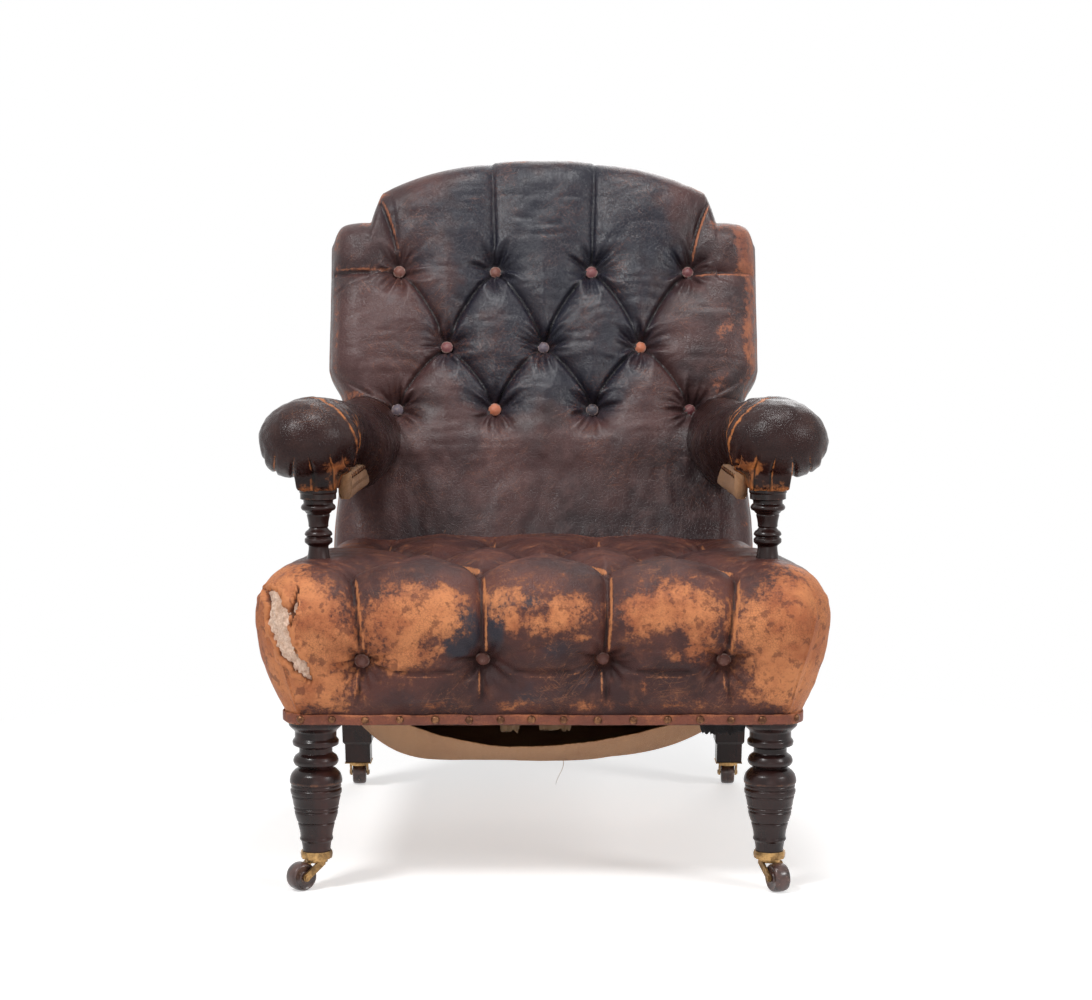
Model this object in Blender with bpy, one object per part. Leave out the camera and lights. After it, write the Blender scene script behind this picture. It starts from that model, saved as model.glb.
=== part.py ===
"""Worn buttoned armchair: turned and raked legs on brass casters, a sprung and
buttoned leather seat, a reclined buttoned back and two padded open arms.
Metres, +Z up, front of the chair faces -Y. Left means -X, the left of the front view."""

import math

import bmesh
import bpy
from mathutils import Vector

# Heights above the floor
FOOT_HEIGHT = 0.0385
RAIL_BOTTOM = 0.205
RAIL_HEIGHT = 0.070
SEAT_CREST_HEIGHT = 0.393
SEAT_REAR_HEIGHT = 0.346
SEAT_WIDEST_HEIGHT = 0.3206
HEM_HEIGHT = 0.0135
ARM_RAIL_BOTTOM = 0.480

# Places of the legs and posts, from the chair's middle line and from the working zero
FRONT_LEG_X = 0.2735
FRONT_LEG_Y = -0.300
REAR_LEG_X = 0.2685
REAR_LEG_Y = 0.254
REAR_FOOT_Y = 0.303
POST_Y = -0.225

# Timber
LEG_BLOCK = 0.050
RAIL_THICK = 0.045
BACK_RAIL_THICK = 0.036
REAR_LEG_THICK = 0.044
REAR_FOOT_THICK = 0.036
STILE_WIDTH = 0.040
STILE_OUTER_X = 0.2805
STILE_TOP = 0.585
STILE_FOOT = 0.092
STILE_SETBACK = 0.0023
REAR_SOCKET_HEIGHT = 0.028
REAR_SOCKET_STEP = 0.004
REAR_SOCKET_FLARE = 0.003
CREST_RAIL_BOTTOM = 0.545
CREST_PADDING = 0.014
STAY_RAIL_BOTTOM = 0.175
STAY_RAIL_HEIGHT = 0.045
FRAME_THICK = 0.0357
ARM_RAIL_WIDTH = 0.042
ARM_RAIL_HEIGHT = 0.022
ARM_RAIL_FRONT = 0.035
CORNER_BLOCK = 0.060
CORNER_BLOCK_HEIGHT = 0.045
CORNER_BLOCK_DROP = 0.004

# Turned profiles
FRONT_LEG_RADIUS = 0.0317
FRONT_LEG_ANKLE = 0.0168
POST_WAIST = 0.0122
POST_COLLAR = 0.0232
POST_FOOT = 0.0200
TURNED_SIDES = 12

# Reclined back, in its own frame: x across, n backwards from the outside face, s up the slope
BACK_RECLINE = math.radians(18)
BACK_FOOT_Y = 0.262
BACK_FOOT_Z = 0.2236
BACK_THICK = 0.093
BACK_RIM = 0.058
BACK_ROUND = 0.050
BACK_SEAT_GAP = 0.0021
BACK_WAIST_X = 0.287
EAR_X = 0.307
EAR_TOP = 0.604
EAR_BOTTOM = 0.335
SHOULDER_X = 0.2515
SHOULDER_INNER_X = 0.232
SHOULDER_TOP = 0.651
CREST_TOP = 0.697
CREST_CURVE = 2.6
EAR_DROP = 0.012
EAR_SWEEP = 0.050
BACK_FLARE = 0.008
BACK_FLARE_LEVEL = 0.25
BACK_FLARE_HEIGHT = 0.12
BACK_EDGE_LEVEL = -0.030
BACK_EDGE_SWELL = 0.003
BACK_QUILT = 0.029
BACK_PAD_INSET = 0.003
BACK_PAD_DROP = 0.014
BACK_PAD_EDGE = 0.006
OUTSIDE_LEATHER = 0.0020
BACK_WEB_X = (-0.160, 0.0, 0.160)
BACK_WEB_LEVELS = (0.30, 0.44)
BACK_LINING_INSET = 0.012
BACK_LINING_LOW = 0.008
BACK_LINING_HIGH = 0.030

# Seat padding
SEAT_HEM = 0.012
SEAT_ROUND = 0.065
FRONT_BULGE = 0.024
SIDE_BULGE = 0.033
SIDE_BULGE_REAR = 0.005
SEAT_REAR_ROUND = 0.040
SEAT_CROWN = 0.006
REAR_WIDEST_SHARE = 0.60
PAD_INSET = 0.004
PAD_REAR_INSET = 0.008
PAD_ROUND = 0.060

# Shares of the seat's height over the rails that the quilting, tufts, springs and pad's edge take
SEAT_QUILT_SHARE = 0.535
SEAT_TUFT_SHARE = 0.685
SPRING_SHARE = 0.70
PAD_EDGE_SHARE = 0.70

# The seat's walls unrolled: their length, and the shares of it down to the widest line and of the hem
WALL = 0.235
REAR_WALL = 0.100
WALL_SHOULDER = 0.44
HEM_SHARE = 0.07
WALL_CURVE = 1.8
TEAR_V_SHARE = 0.43
TEAR_OUT = 0.010
TEAR_HALF = (0.011, 0.046, 0.0065)
TEAR_SUNK = 0.0025

# Buttoning
BUTTON_SPACING = 0.143
BUTTON_RADIUS = 0.0080
BUTTON_HEIGHT = 0.0055
BUTTON_SUNK = 0.0018
BUTTON_SHANK = 0.0050
BUTTON_EDGE = 0.0012
PLEAT_WIDTH = 0.020
DIMPLE_WIDTH = 0.024
NOTCH_DROP = 0.012
NOTCH_SPREAD = 1.07
HEM_SPREAD = 1.04
REAR_PLEAT_LENGTH = 0.14
BACK_BUTTON_SPREAD = 0.96
DEEP_PLEAT = 0.75
PLEAT = 0.60
SOFT_PLEAT = 0.35
FAINT_PLEAT = 0.15
FRONT_BUTTON_HEIGHT = 0.277
SEAT_ROW_Y = (-0.130, 0.030)
BACK_ROWS = (0.5182, 0.4049, 0.3124)
FRONT_TUFT = 0.020
BACK_TUFT = 0.022
SEAT_PUFF = 0.010
BACK_PUFF = 0.009

# Arms
ARM_BULB_X = 0.286
ARM_BULB_Z = 0.5388
ARM_BULB_WIDTH = 0.1206
ARM_BULB_HEIGHT = 0.0974
ARM_BULB_REACH = 0.055
ARM_REAR_X = 0.2555
ARM_REAR_Z = 0.510
ARM_REAR_WIDTH = 0.104
ARM_REAR_HEIGHT = 0.118
ARM_COVER = 0.004
ARM_RAIL_CLEARANCE = 0.0008
ARM_FRONT_REACH = 0.010
ARM_BACK_GAP = 0.006
ARM_TURN_START = 0.22
ARM_TURN_LENGTH = 0.45
ARM_NECK = 0.06
ARM_NECK_AT = 0.30
ARM_NECK_LENGTH = 0.10
STUFFING_GAP = 0.0020
GATHER_DEPTH = 0.0022
LINING_WIDTH = 0.016
LINING_DROP = 0.018
LINING_START = 0.035
LINING_END = 0.350
LINING_RISE_SHARE = 0.70

# Webbing, springs, cloth, banding and nails
WEB_WIDTH = 0.050
WEB_THICK = 0.0015
WEB_INSET = 0.012
CLOTH_THICK = 0.0012
SPRING_WIRE = 0.0020
SPRING_RADIUS = 0.044
SPRING_WAIST = 0.028
SPRING_TURNS = 3
SPRING_LINES_X = (-0.140, 0.0, 0.140)
SPRING_LINES_Y = (-0.200, -0.050, 0.100)
BOTTOM_SAG = 0.066
BOTTOM_CLOTH_HALF = 0.238
BOTTOM_CLOTH_SETBACK = 0.063
SAG_PEAK = 0.16
SAG_FRONT = 0.54
SAG_RIPPLE = 0.004
BAND_THICK = 0.0016
BAND_HEIGHT = 0.0115
NAIL_RADIUS = 0.0050
NAIL_HEIGHT = 0.0030
NAIL_PITCH = 0.0395
BAND_GAP = 0.0006
BAND_RISE = 0.0010
BAND_END_GAP = 0.006
HEM_STEPS = 6

# Casters
WHEEL_RADIUS = 0.0172
WHEEL_WIDTH = 0.0190
WHEEL_CROWN = 0.0016
AXLE_RADIUS = 0.0022
CASTER_TRAIL = 0.0220
CHEEK_THICK = 0.0028
CHEEK_GAP = 0.0010
YOKE_PLATE_RADIUS = 0.0135
YOKE_PLATE_THICK = 0.0040
STEM_RADIUS = 0.0040
STEM_LENGTH = 0.024
CUP_HEIGHT = 0.0090
CUP_WALL = 0.0016
CUP_PLATE = 0.0012
CUP_BELLY = 0.0008
PLATE_LIP = 0.0010
AXLE_HEAD_THICK = 0.0010
RUNNING_GAP = 0.0006
TOUCH = 0.0003
SAME_POINT = 0.00001
LEG_CLEARANCE = 0.0025
POST_CLEARANCE = 0.0010
CUT_PAST = 0.010
FAR = 0.40
SLOPE_STEP = 0.004

# Where reliefs fade out, and how finely the padded faces are divided
HEM_FADE_START = 0.80
SIDE_FADE_START = 0.020
SIDE_FADE = 0.100
REAR_FADE = 0.030
FRONT_FADE = 0.080
EAR_FOLD_RISE = 0.030
LOW_FOLD = 0.050
LOW_FADE_START = 0.090
LOW_FADE = 0.050
CREST_FADE_START = 0.004
CREST_FADE = 0.030
EDGE_FADE = 0.020
EDGE_RELIEF = 0.25
OUTSIDE_KNEE_RISE = 0.004
OUTSIDE_INSET = 0.0035
OUTSIDE_ROWS = (0.0, 0.22, 0.47, 0.56, 1.0)
WALL_ROWS = (0.14, 0.28, WALL_SHOULDER, 0.56, 0.68, 0.80, 1 - HEM_SHARE, 1.0)
SIDE_ROWS = (0.18, WALL_SHOULDER, 0.68, 1 - HEM_SHARE, 1.0)
REAR_ROWS = (0.3, 0.6, 1.0)
SEAT_COLUMNS = 34
SEAT_TOP_ROWS = 14
PAD_COLUMNS = 10
PAD_ROWS = 8
BACK_GRID_ROWS = 24
ARM_SIDES = 22
ARM_CORE_SIDES = 12
ARM_DOME = (0.04, 0.16, 0.36, 0.60, 0.82)
ARM_CORE_DOME = (0.20, 0.60)
ARM_RINGS = 10
ARM_CORE_RINGS = 6
GATHER_LENGTH = 0.16

# Which way each caster trails at rest, as an angle in the floor plane from +X
CASTER_HEADINGS = {
    "front_left": math.radians(218),
    "front_right": math.radians(-67.5),
    "rear_left": math.radians(92),
    "rear_right": math.radians(88),
}

MATERIALS = {
    "mahogany": ((0.040, 0.012, 0.010), 0.32, 0.0),
    "beech": ((0.36, 0.22, 0.12), 0.65, 0.0),
    "dark_leather": ((0.050, 0.030, 0.030), 0.42, 0.0),
    "tan_leather": ((0.45, 0.19, 0.08), 0.50, 0.0),
    "hessian": ((0.42, 0.26, 0.15), 0.92, 0.0),
    "webbing": ((0.50, 0.38, 0.24), 0.90, 0.0),
    "hair": ((0.10, 0.075, 0.055), 0.95, 0.0),
    "wadding": ((0.72, 0.62, 0.50), 0.98, 0.0),
    "spring_steel": ((0.30, 0.27, 0.24), 0.45, 1.0),
    "brass": ((0.52, 0.34, 0.13), 0.35, 1.0),
    "wheel_brown": ((0.070, 0.035, 0.028), 0.45, 0.0),
}


def clearScene():
    for item in list(bpy.data.objects):
        bpy.data.objects.remove(item, do_unlink=True)


def makeMaterials():
    made = {}
    for name, (colour, roughness, metallic) in MATERIALS.items():
        material = bpy.data.materials.new(name)
        material.use_nodes = True
        shader = material.node_tree.nodes["Principled BSDF"]
        shader.inputs["Base Color"].default_value = (*colour, 1.0)
        shader.inputs["Roughness"].default_value = roughness
        shader.inputs["Metallic"].default_value = metallic
        material.diffuse_color = (*colour, 1.0)
        made[name] = material
    return made


def addObject(name, bm, material, parent, smooth=False):
    """Turn a bmesh into a named object under its parent, faces pointing outwards."""
    bmesh.ops.recalc_face_normals(bm, faces=bm.faces[:])
    mesh = bpy.data.meshes.new(name)
    bm.to_mesh(mesh)
    bm.free()
    item = bpy.data.objects.new(name, mesh)
    bpy.context.scene.collection.objects.link(item)
    item.parent = parent
    if material is not None:
        mesh.materials.append(material)
    if smooth:
        mesh.shade_smooth()
        mesh.set_sharp_from_angle(angle=math.radians(40))
    return item


def addEmpty(name, parent, place=(0, 0, 0), turn=(0, 0, 0)):
    item = bpy.data.objects.new(name, None)
    bpy.context.scene.collection.objects.link(item)
    item.parent = parent
    item.location = place
    item.rotation_euler = turn
    return item


def combine(target, guide, operation):
    """Apply a guide shape to the target with a Boolean, and hide the guide."""
    guide.hide_render = True
    guide.display_type = "WIRE"
    step = target.modifiers.new(guide.name, "BOOLEAN")
    step.operation = operation
    step.solver = "EXACT"
    step.object = guide


def cutWith(target, guide):
    combine(target, guide, "DIFFERENCE")


def joinWith(target, guide):
    combine(target, guide, "UNION")


def addBox(bm, low, high):
    xs, ys, zs = zip(low, high)
    verts = [bm.verts.new((x, y, z)) for x in xs for y in ys for z in zs]
    for quad in ((0, 1, 3, 2), (4, 6, 7, 5), (0, 4, 5, 1), (2, 3, 7, 6), (0, 2, 6, 4), (1, 5, 7, 3)):
        bm.faces.new([verts[i] for i in quad])


def addPrism(bm, outline, low, high, place):
    """Extrude a closed outline of (a, b) pairs between two levels; place maps (a, b, level) to space."""
    bottom = [bm.verts.new(place(a, b, low)) for a, b in outline]
    top = [bm.verts.new(place(a, b, high)) for a, b in outline]
    count = len(outline)
    for i in range(count):
        j = (i + 1) % count
        bm.faces.new((bottom[i], bottom[j], top[j], top[i]))
    bm.faces.new(bottom)
    bm.faces.new(top)


def addRings(bm, rings):
    """Skin a list of closed rings of equal count and cap both ends."""
    made = [[bm.verts.new(point) for point in ring] for ring in rings]
    count = len(made[0])
    for lower, upper in zip(made, made[1:]):
        for i in range(count):
            j = (i + 1) % count
            bm.faces.new((lower[i], lower[j], upper[j], upper[i]))
    bm.faces.new(made[0])
    bm.faces.new(made[-1])


def circleRing(radius, height, sides=TURNED_SIDES, centre=(0, 0)):
    step = 2 * math.pi / sides
    ring = []
    for i in range(sides):
        x = centre[0] + radius * math.cos(i * step)
        y = centre[1] + radius * math.sin(i * step)
        ring.append(Vector((x, y, height)))
    return ring


def addTurned(bm, profile, sides=TURNED_SIDES):
    """A solid turned about Z from (radius, height) pairs, bottom to top."""
    addRings(bm, [circleRing(radius, height, sides) for radius, height in profile])


def addTube(bm, points, radius, sides):
    """A round wire along a list of points, with flat ends."""
    rings = []
    side = None
    for i, point in enumerate(points):
        ahead = points[min(i + 1, len(points) - 1)] - points[max(i - 1, 0)]
        ahead.normalize()
        if side is None:
            side = ahead.orthogonal().normalized()
        side = (side - ahead * side.dot(ahead)).normalized()
        across = ahead.cross(side)
        ring = []
        for k in range(sides):
            angle = 2 * math.pi * k / sides
            ring.append(point + radius * (side * math.cos(angle) + across * math.sin(angle)))
        rings.append(ring)
    addRings(bm, rings)


def addSheet(bm, upper, lower):
    """A closed solid between two grids of points with the same rows and columns."""
    rows = len(upper)
    columns = len(upper[0])
    top = [[bm.verts.new(point) for point in row] for row in upper]
    under = [[bm.verts.new(point) for point in row] for row in lower]
    for i in range(rows - 1):
        for j in range(columns - 1):
            bm.faces.new((top[i][j], top[i][j + 1], top[i + 1][j + 1], top[i + 1][j]))
            bm.faces.new((under[i][j], under[i + 1][j], under[i + 1][j + 1], under[i][j + 1]))
    rim = gridRim(rows, columns)
    for (i, j), (k, m) in zip(rim, rim[1:] + rim[:1]):
        bm.faces.new((top[i][j], under[i][j], under[k][m], top[k][m]))


def gridRim(rows, columns):
    """Index pairs that walk once round the rim of a grid."""
    rim = [(0, j) for j in range(columns - 1)]
    rim += [(i, columns - 1) for i in range(rows - 1)]
    rim += [(rows - 1, j) for j in range(columns - 1, 0, -1)]
    rim += [(i, 0) for i in range(rows - 1, 0, -1)]
    return rim


def addCushion(bm, grid, split=False):
    """A closed solid from one grid of points whose rim lies in a plane.

    Split cells all share one diagonal, so a pad and the hollow made for it never cross.
    """
    rows = len(grid)
    columns = len(grid[0])
    verts = [[bm.verts.new(point) for point in row] for row in grid]
    for i in range(rows - 1):
        for j in range(columns - 1):
            cell = (verts[i][j], verts[i][j + 1], verts[i + 1][j + 1], verts[i + 1][j])
            if split:
                bm.faces.new((cell[0], cell[1], cell[2]))
                bm.faces.new((cell[0], cell[2], cell[3]))
            else:
                bm.faces.new(cell)
    bm.faces.new([verts[i][j] for i, j in gridRim(rows, columns)])
    if split:
        bmesh.ops.remove_doubles(bm, verts=bm.verts[:], dist=SAME_POINT)


def mix(a, b, share):
    return a + (b - a) * share


def spread(low, high, count):
    return [mix(low, high, i / count) for i in range(count + 1)]


def ease(share):
    share = min(max(share, 0.0), 1.0)
    return share * share * (3 - 2 * share)


# Places that several pieces share

def railTop():
    return RAIL_BOTTOM + RAIL_HEIGHT


def railOuterX(y):
    """Outer face of the side rails, which run in a little towards the rear legs."""
    front = FRONT_LEG_Y + LEG_BLOCK / 2
    share = (y - front) / (rearLegFrontY() - front)
    share = min(max(share, 0.0), 1.0)
    return mix(FRONT_LEG_X + LEG_BLOCK / 2, REAR_LEG_X + REAR_LEG_THICK / 2, share)


def railFrontY():
    return FRONT_LEG_Y - LEG_BLOCK / 2


def rearLegFrontY():
    return REAR_LEG_Y - REAR_LEG_THICK / 2


def postX():
    return railOuterX(POST_Y) - RAIL_THICK / 2


def backPoint(x, n, s):
    """From the reclined back's own frame to the chair's."""
    y = BACK_FOOT_Y + n * math.cos(BACK_RECLINE) + s * math.sin(BACK_RECLINE)
    z = BACK_FOOT_Z - n * math.sin(BACK_RECLINE) + s * math.cos(BACK_RECLINE)
    return Vector((x, y, z))


def backSlopeAt(n, z):
    """How far up the slope a level n of the back reaches the height z."""
    return (z - BACK_FOOT_Z + n * math.sin(BACK_RECLINE)) / math.cos(BACK_RECLINE)


def backBottom():
    """The level at which the back's padding ends, just clear of the seat's rear edge."""
    height = SEAT_REAR_HEIGHT + BACK_SEAT_GAP - BACK_FOOT_Z - BACK_RIM * math.sin(BACK_RECLINE)
    return height / math.cos(BACK_RECLINE)


def stileRearN():
    return -STILE_SETBACK


def stileFrontN():
    return stileRearN() - FRAME_THICK


# Pleats and buttons, in the flat coordinates of the unrolled leather

def pointToPleat(x, v, pleat):
    """Distance to one pleat, and how far along it the nearest point lies."""
    (x1, v1), (x2, v2) = pleat[0], pleat[1]
    dx = x2 - x1
    dv = v2 - v1
    share = ((x - x1) * dx + (v - v1) * dv) / (dx * dx + dv * dv)
    share = min(max(share, 0.0), 1.0)
    return math.hypot(x - x1 - share * dx, v - v1 - share * dv), share


def tufted(x, v, pleats, buttons, tuft, puff):
    """How far the leather stands out (+) or is pulled in (-) at a place."""
    pull = 0.0
    for pleat in pleats:
        distance, share = pointToPleat(x, v, pleat)
        depth = mix(pleat[2], pleat[3], share)
        pull = max(pull, depth / (1 + (distance / PLEAT_WIDTH) ** 2))
    for bx, bv in buttons:
        distance = math.hypot(x - bx, v - bv)
        pull = max(pull, 1.0 / (1 + (distance / DIMPLE_WIDTH) ** 2))
    return puff - (tuft + puff) * pull


# Seat

def seatCore():
    """Half width at the front, half width at the rear, front and rear of the seat's flat middle."""
    front = railFrontY() - SEAT_HEM - FRONT_BULGE + SEAT_ROUND
    rear = REAR_LEG_Y - SEAT_REAR_ROUND
    halfFront = railOuterX(FRONT_LEG_Y) + SEAT_HEM + SIDE_BULGE - SEAT_ROUND
    halfRear = railOuterX(REAR_LEG_Y) + SEAT_HEM + SIDE_BULGE_REAR - SEAT_ROUND
    return halfFront, halfRear, front, rear


def seatCrest(along):
    return mix(SEAT_CREST_HEIGHT, SEAT_REAR_HEIGHT, ease(along))


def seatQuilt():
    """Depth of the leather and the layer sewn under it."""
    return (SEAT_REAR_HEIGHT - railTop()) * SEAT_QUILT_SHARE


def springRest():
    """Height of the hessian that is stretched over the springs."""
    return mix(railTop(), SEAT_REAR_HEIGHT - seatQuilt(), SPRING_SHARE)


def hemStart():
    return 1 - HEM_SHARE


def wallProfile(w, reach, bulge, crest, widest):
    """Outward reach and height at a share w of the way from the crest to the hem."""
    hemTop = RAIL_BOTTOM + HEM_HEIGHT
    if w < WALL_SHOULDER:
        angle = math.pi / 2 * w / WALL_SHOULDER
        return reach * math.sin(angle), widest + (crest - widest) * math.cos(angle)
    if w < hemStart():
        share = (w - WALL_SHOULDER) / (hemStart() - WALL_SHOULDER)
        return reach - bulge * share ** WALL_CURVE, mix(widest, hemTop, share)
    return reach - bulge, mix(hemTop, RAIL_BOTTOM, (w - hemStart()) / HEM_SHARE)


def wallShareAt(height):
    """Share of the wall, below its widest line, at which it has a height."""
    hemTop = RAIL_BOTTOM + HEM_HEIGHT
    share = (SEAT_WIDEST_HEIGHT - height) / (SEAT_WIDEST_HEIGHT - hemTop)
    return mix(WALL_SHOULDER, hemStart(), share)


def halfAlong(v):
    """Half width of the seat's flat middle at a distance along it."""
    halfFront, halfRear = seatCore()[:2]
    return mix(halfFront, halfRear, seatAlong(v))


def seatAlong(v):
    front, rear = seatCore()[2:]
    return (min(max(v, front), rear) - front) / (rear - front)


def seatPoint(x, v):
    """The seat's smooth surface at the unrolled place (x, v)."""
    front, rear = seatCore()[2:]
    y = min(max(v, front), rear)
    along = seatAlong(v)
    half = halfAlong(v)
    outX = max(abs(x) - half, 0.0) / WALL
    outFront = max(front - v, 0.0) / WALL
    outRear = max(v - rear, 0.0) / REAR_WALL
    outY = max(outFront, outRear)
    crest = seatCrest(along)
    crown = SEAT_CROWN * math.cos(min(abs(x) / half, 1.0) * math.pi / 2)
    if outX == 0 and outY == 0:
        return Vector((x, y, crest + crown))
    squash = max(outX, outY) / math.hypot(outX, outY)
    outX *= squash
    outY *= squash
    w = math.hypot(outX, outY)
    toX = outX / w
    toY = outY / w
    rearWidest = mix(RAIL_BOTTOM, SEAT_REAR_HEIGHT, REAR_WIDEST_SHARE)
    widest = mix(SEAT_WIDEST_HEIGHT, rearWidest, along)
    sideBulge = mix(SIDE_BULGE, SIDE_BULGE_REAR, along)
    if outFront > 0:
        reachY, heightY = wallProfile(w, SEAT_ROUND, FRONT_BULGE, crest, widest)
    else:
        reachY, heightY = wallProfile(w, SEAT_REAR_ROUND, 0.0, crest, widest)
    reachX, heightX = wallProfile(w, SEAT_ROUND, sideBulge, crest, widest)
    height = heightX * toX ** 2 + heightY * toY ** 2 + crown * (1 - w)
    sideX = math.copysign(min(abs(x), half) + reachX * toX, x)
    toFront = -1 if outFront > 0 else 1
    return Vector((sideX, y + toFront * reachY * toY, height))


def seatButtons():
    """Unrolled places of the seat's buttons: the front row, then the rows on top."""
    halfStep = BUTTON_SPACING / 2
    front = seatCore()[2]
    frontV = front - WALL * wallShareAt(FRONT_BUTTON_HEIGHT)
    places = [(k * halfStep, frontV) for k in (-3, -1, 1, 3)]
    places += [(k * halfStep, SEAT_ROW_Y[0]) for k in (-2, 0, 2)]
    places += [(k * halfStep, SEAT_ROW_Y[1]) for k in (-3, -1, 1, 3)]
    return places


def seatPleats():
    """Unrolled pleats of the seat: up and down the front, then the diamonds on top."""
    halfStep = BUTTON_SPACING / 2
    front = seatCore()[2]
    frontV = front - WALL * wallShareAt(FRONT_BUTTON_HEIGHT)
    hemV = front - WALL * hemStart()
    near, far = SEAT_ROW_Y
    pleats = []
    for k in (-3, -1, 1, 3):
        x = k * halfStep
        notch = (x * NOTCH_SPREAD, front - NOTCH_DROP)
        pleats.append(((x, frontV), (x * HEM_SPREAD, hemV), PLEAT, SOFT_PLEAT))
        pleats.append(((x, frontV), notch, PLEAT, PLEAT))
        for side in (-1, 1):
            target = x + side * halfStep
            if abs(target) < 2.5 * halfStep:
                pleats.append((notch, (target, near), PLEAT, DEEP_PLEAT))
                pleats.append(((target, near), (x, far), DEEP_PLEAT, DEEP_PLEAT))
        pleats.append(((x, far), (x, far + REAR_PLEAT_LENGTH), DEEP_PLEAT, SOFT_PLEAT))
    return pleats


def seatOut(x, v):
    """The outward direction of the smooth seat."""
    acrossX = seatPoint(x + SLOPE_STEP, v) - seatPoint(x - SLOPE_STEP, v)
    acrossV = seatPoint(x, v + SLOPE_STEP) - seatPoint(x, v - SLOPE_STEP)
    return acrossX.cross(acrossV).normalized()


def seatSurface(x, v):
    """The buttoned leather: the smooth seat moved along its own outward direction."""
    front, rear = seatCore()[2:]
    tuft = mix(seatQuilt() * SEAT_TUFT_SHARE, FRONT_TUFT, ease((front - v) / FRONT_FADE))
    hemStarts = hemStart() * HEM_FADE_START
    hemFade = 1 - ease(((front - v) / WALL - hemStarts) / (hemStart() - hemStarts))
    sideFade = 1 - ease((abs(x) - halfAlong(v) - SIDE_FADE_START) / SIDE_FADE)
    rearFade = 1 - ease((v - rear + REAR_FADE) / REAR_FADE)
    fade = min(hemFade, sideFade, rearFade)
    relief = tufted(x, v, seatPleats(), seatButtons(), tuft, SEAT_PUFF)
    return seatPoint(x, v) + seatOut(x, v) * relief * fade


def seatGrid(surface, columns, topRows, frontRows, sideRows, rearRows):
    """Rows of surface points over the whole unrolled seat, from the front hem to the rear."""
    front, rear = seatCore()[2:]
    vs = [front - WALL * share for share in reversed(frontRows)] + spread(front, rear, topRows)
    vs += [rear + REAR_WALL * share for share in rearRows]
    sides = [WALL * share for share in sideRows]
    grid = []
    for v in vs:
        half = halfAlong(v)
        line = [-half - wall for wall in reversed(sides)] + spread(-half, half, columns)
        line += [half + wall for wall in sides]
        grid.append([surface(x, v) for x in line])
    return grid


def roundOver(share):
    """Quarter circle from 0 at the rim to 1 once the share reaches 1."""
    return math.sqrt(1 - (1 - min(max(share, 0.0), 1.0)) ** 2)


def moundGrid(half, low, high, base, edge, top, place):
    """A smooth mound with upright sides: rim at base, shoulder at edge, height from top(v)."""
    vs = [low] + spread(low, high, PAD_ROWS) + [high]
    grid = []
    for i, v in enumerate(vs):
        xs = [-half(v)] + spread(-half(v), half(v), PAD_COLUMNS) + [half(v)]
        line = []
        for j, x in enumerate(xs):
            inside = 0 < i < len(vs) - 1 and 0 < j < len(xs) - 1
            lift = roundOver((half(v) - abs(x)) / PAD_ROUND) * roundOver(min(v - low, high - v) / PAD_ROUND)
            level = mix(edge, top(v), lift) if inside else base
            line.append(place(x, v, level))
        grid.append(line)
    return grid


def seatMound(base, shrink):
    """The smooth top of the stuffing that lies under the quilted leather."""
    inset = PAD_INSET + shrink
    low = railFrontY() + inset
    high = REAR_LEG_Y - PAD_REAR_INSET - shrink
    edge = mix(springRest(), SEAT_REAR_HEIGHT - seatQuilt(), PAD_EDGE_SHARE) - shrink

    def half(y):
        return railOuterX(y) - inset

    def top(y):
        return seatCrest(seatAlong(y)) - seatQuilt() - shrink

    return moundGrid(half, low, high, base, edge, top, lambda x, y, z: Vector((x, y, z)))


def buttonProfile():
    """A covered button whose shank is drawn down into the leather."""
    top = BUTTON_HEIGHT - BUTTON_SUNK
    return [
        (BUTTON_RADIUS * 0.5, -BUTTON_SHANK),
        (BUTTON_RADIUS, -BUTTON_SUNK + BUTTON_EDGE),
        (BUTTON_RADIUS * 0.80, top - BUTTON_EDGE),
        (BUTTON_RADIUS * 0.40, top),
    ]


def addAimed(bm, profile, sides, place, out):
    """A turned solid stood at a place, facing a direction."""
    turn = out.to_track_quat("Z", "Y").to_matrix()
    rings = []
    for radius, height in profile:
        rings.append([place + turn @ point for point in circleRing(radius, height, sides)])
    addRings(bm, rings)


def joinButtons(root, cover, frames, name):
    """Sew the buttons to the leather as one body with it."""
    bm = bmesh.new()
    for place, out in frames:
        addAimed(bm, buttonProfile(), 10, place, out)
    joinWith(cover, addObject(name, bm, None, root))


def flat(x, y, z):
    return Vector((x, y, z))


def buildSeat(root, mats):
    bm = bmesh.new()
    addCushion(bm, seatGrid(seatSurface, SEAT_COLUMNS, SEAT_TOP_ROWS, WALL_ROWS, SIDE_ROWS, REAR_ROWS))
    cover = addObject("seat_cover", bm, mats["tan_leather"], root, smooth=True)
    frames = [(seatSurface(x, v), seatOut(x, v)) for x, v in seatButtons()]
    joinButtons(root, cover, frames, "join_seat_buttons")
    buildTear(root, mats, cover)

    bm = bmesh.new()
    addPrism(bm, railPlan(TOUCH), RAIL_BOTTOM - CUT_PAST, railTop() + TOUCH, flat)
    cutWith(cover, addObject("cut_rail_space", bm, None, root))

    bm = bmesh.new()
    addCushion(bm, seatMound(railTop() - PAD_INSET, 0.0), split=True)
    cutWith(cover, addObject("cut_stuffing_space", bm, None, root))
    corners = addCornerCut(root)
    cutWith(cover, corners)

    bm = bmesh.new()
    addCushion(bm, seatMound(springRest() + CLOTH_THICK + 2 * TOUCH, 3 * TOUCH), split=True)
    stuffing = addObject("seat_stuffing", bm, mats["hair"], root, smooth=True)
    cutWith(stuffing, corners)


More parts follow.
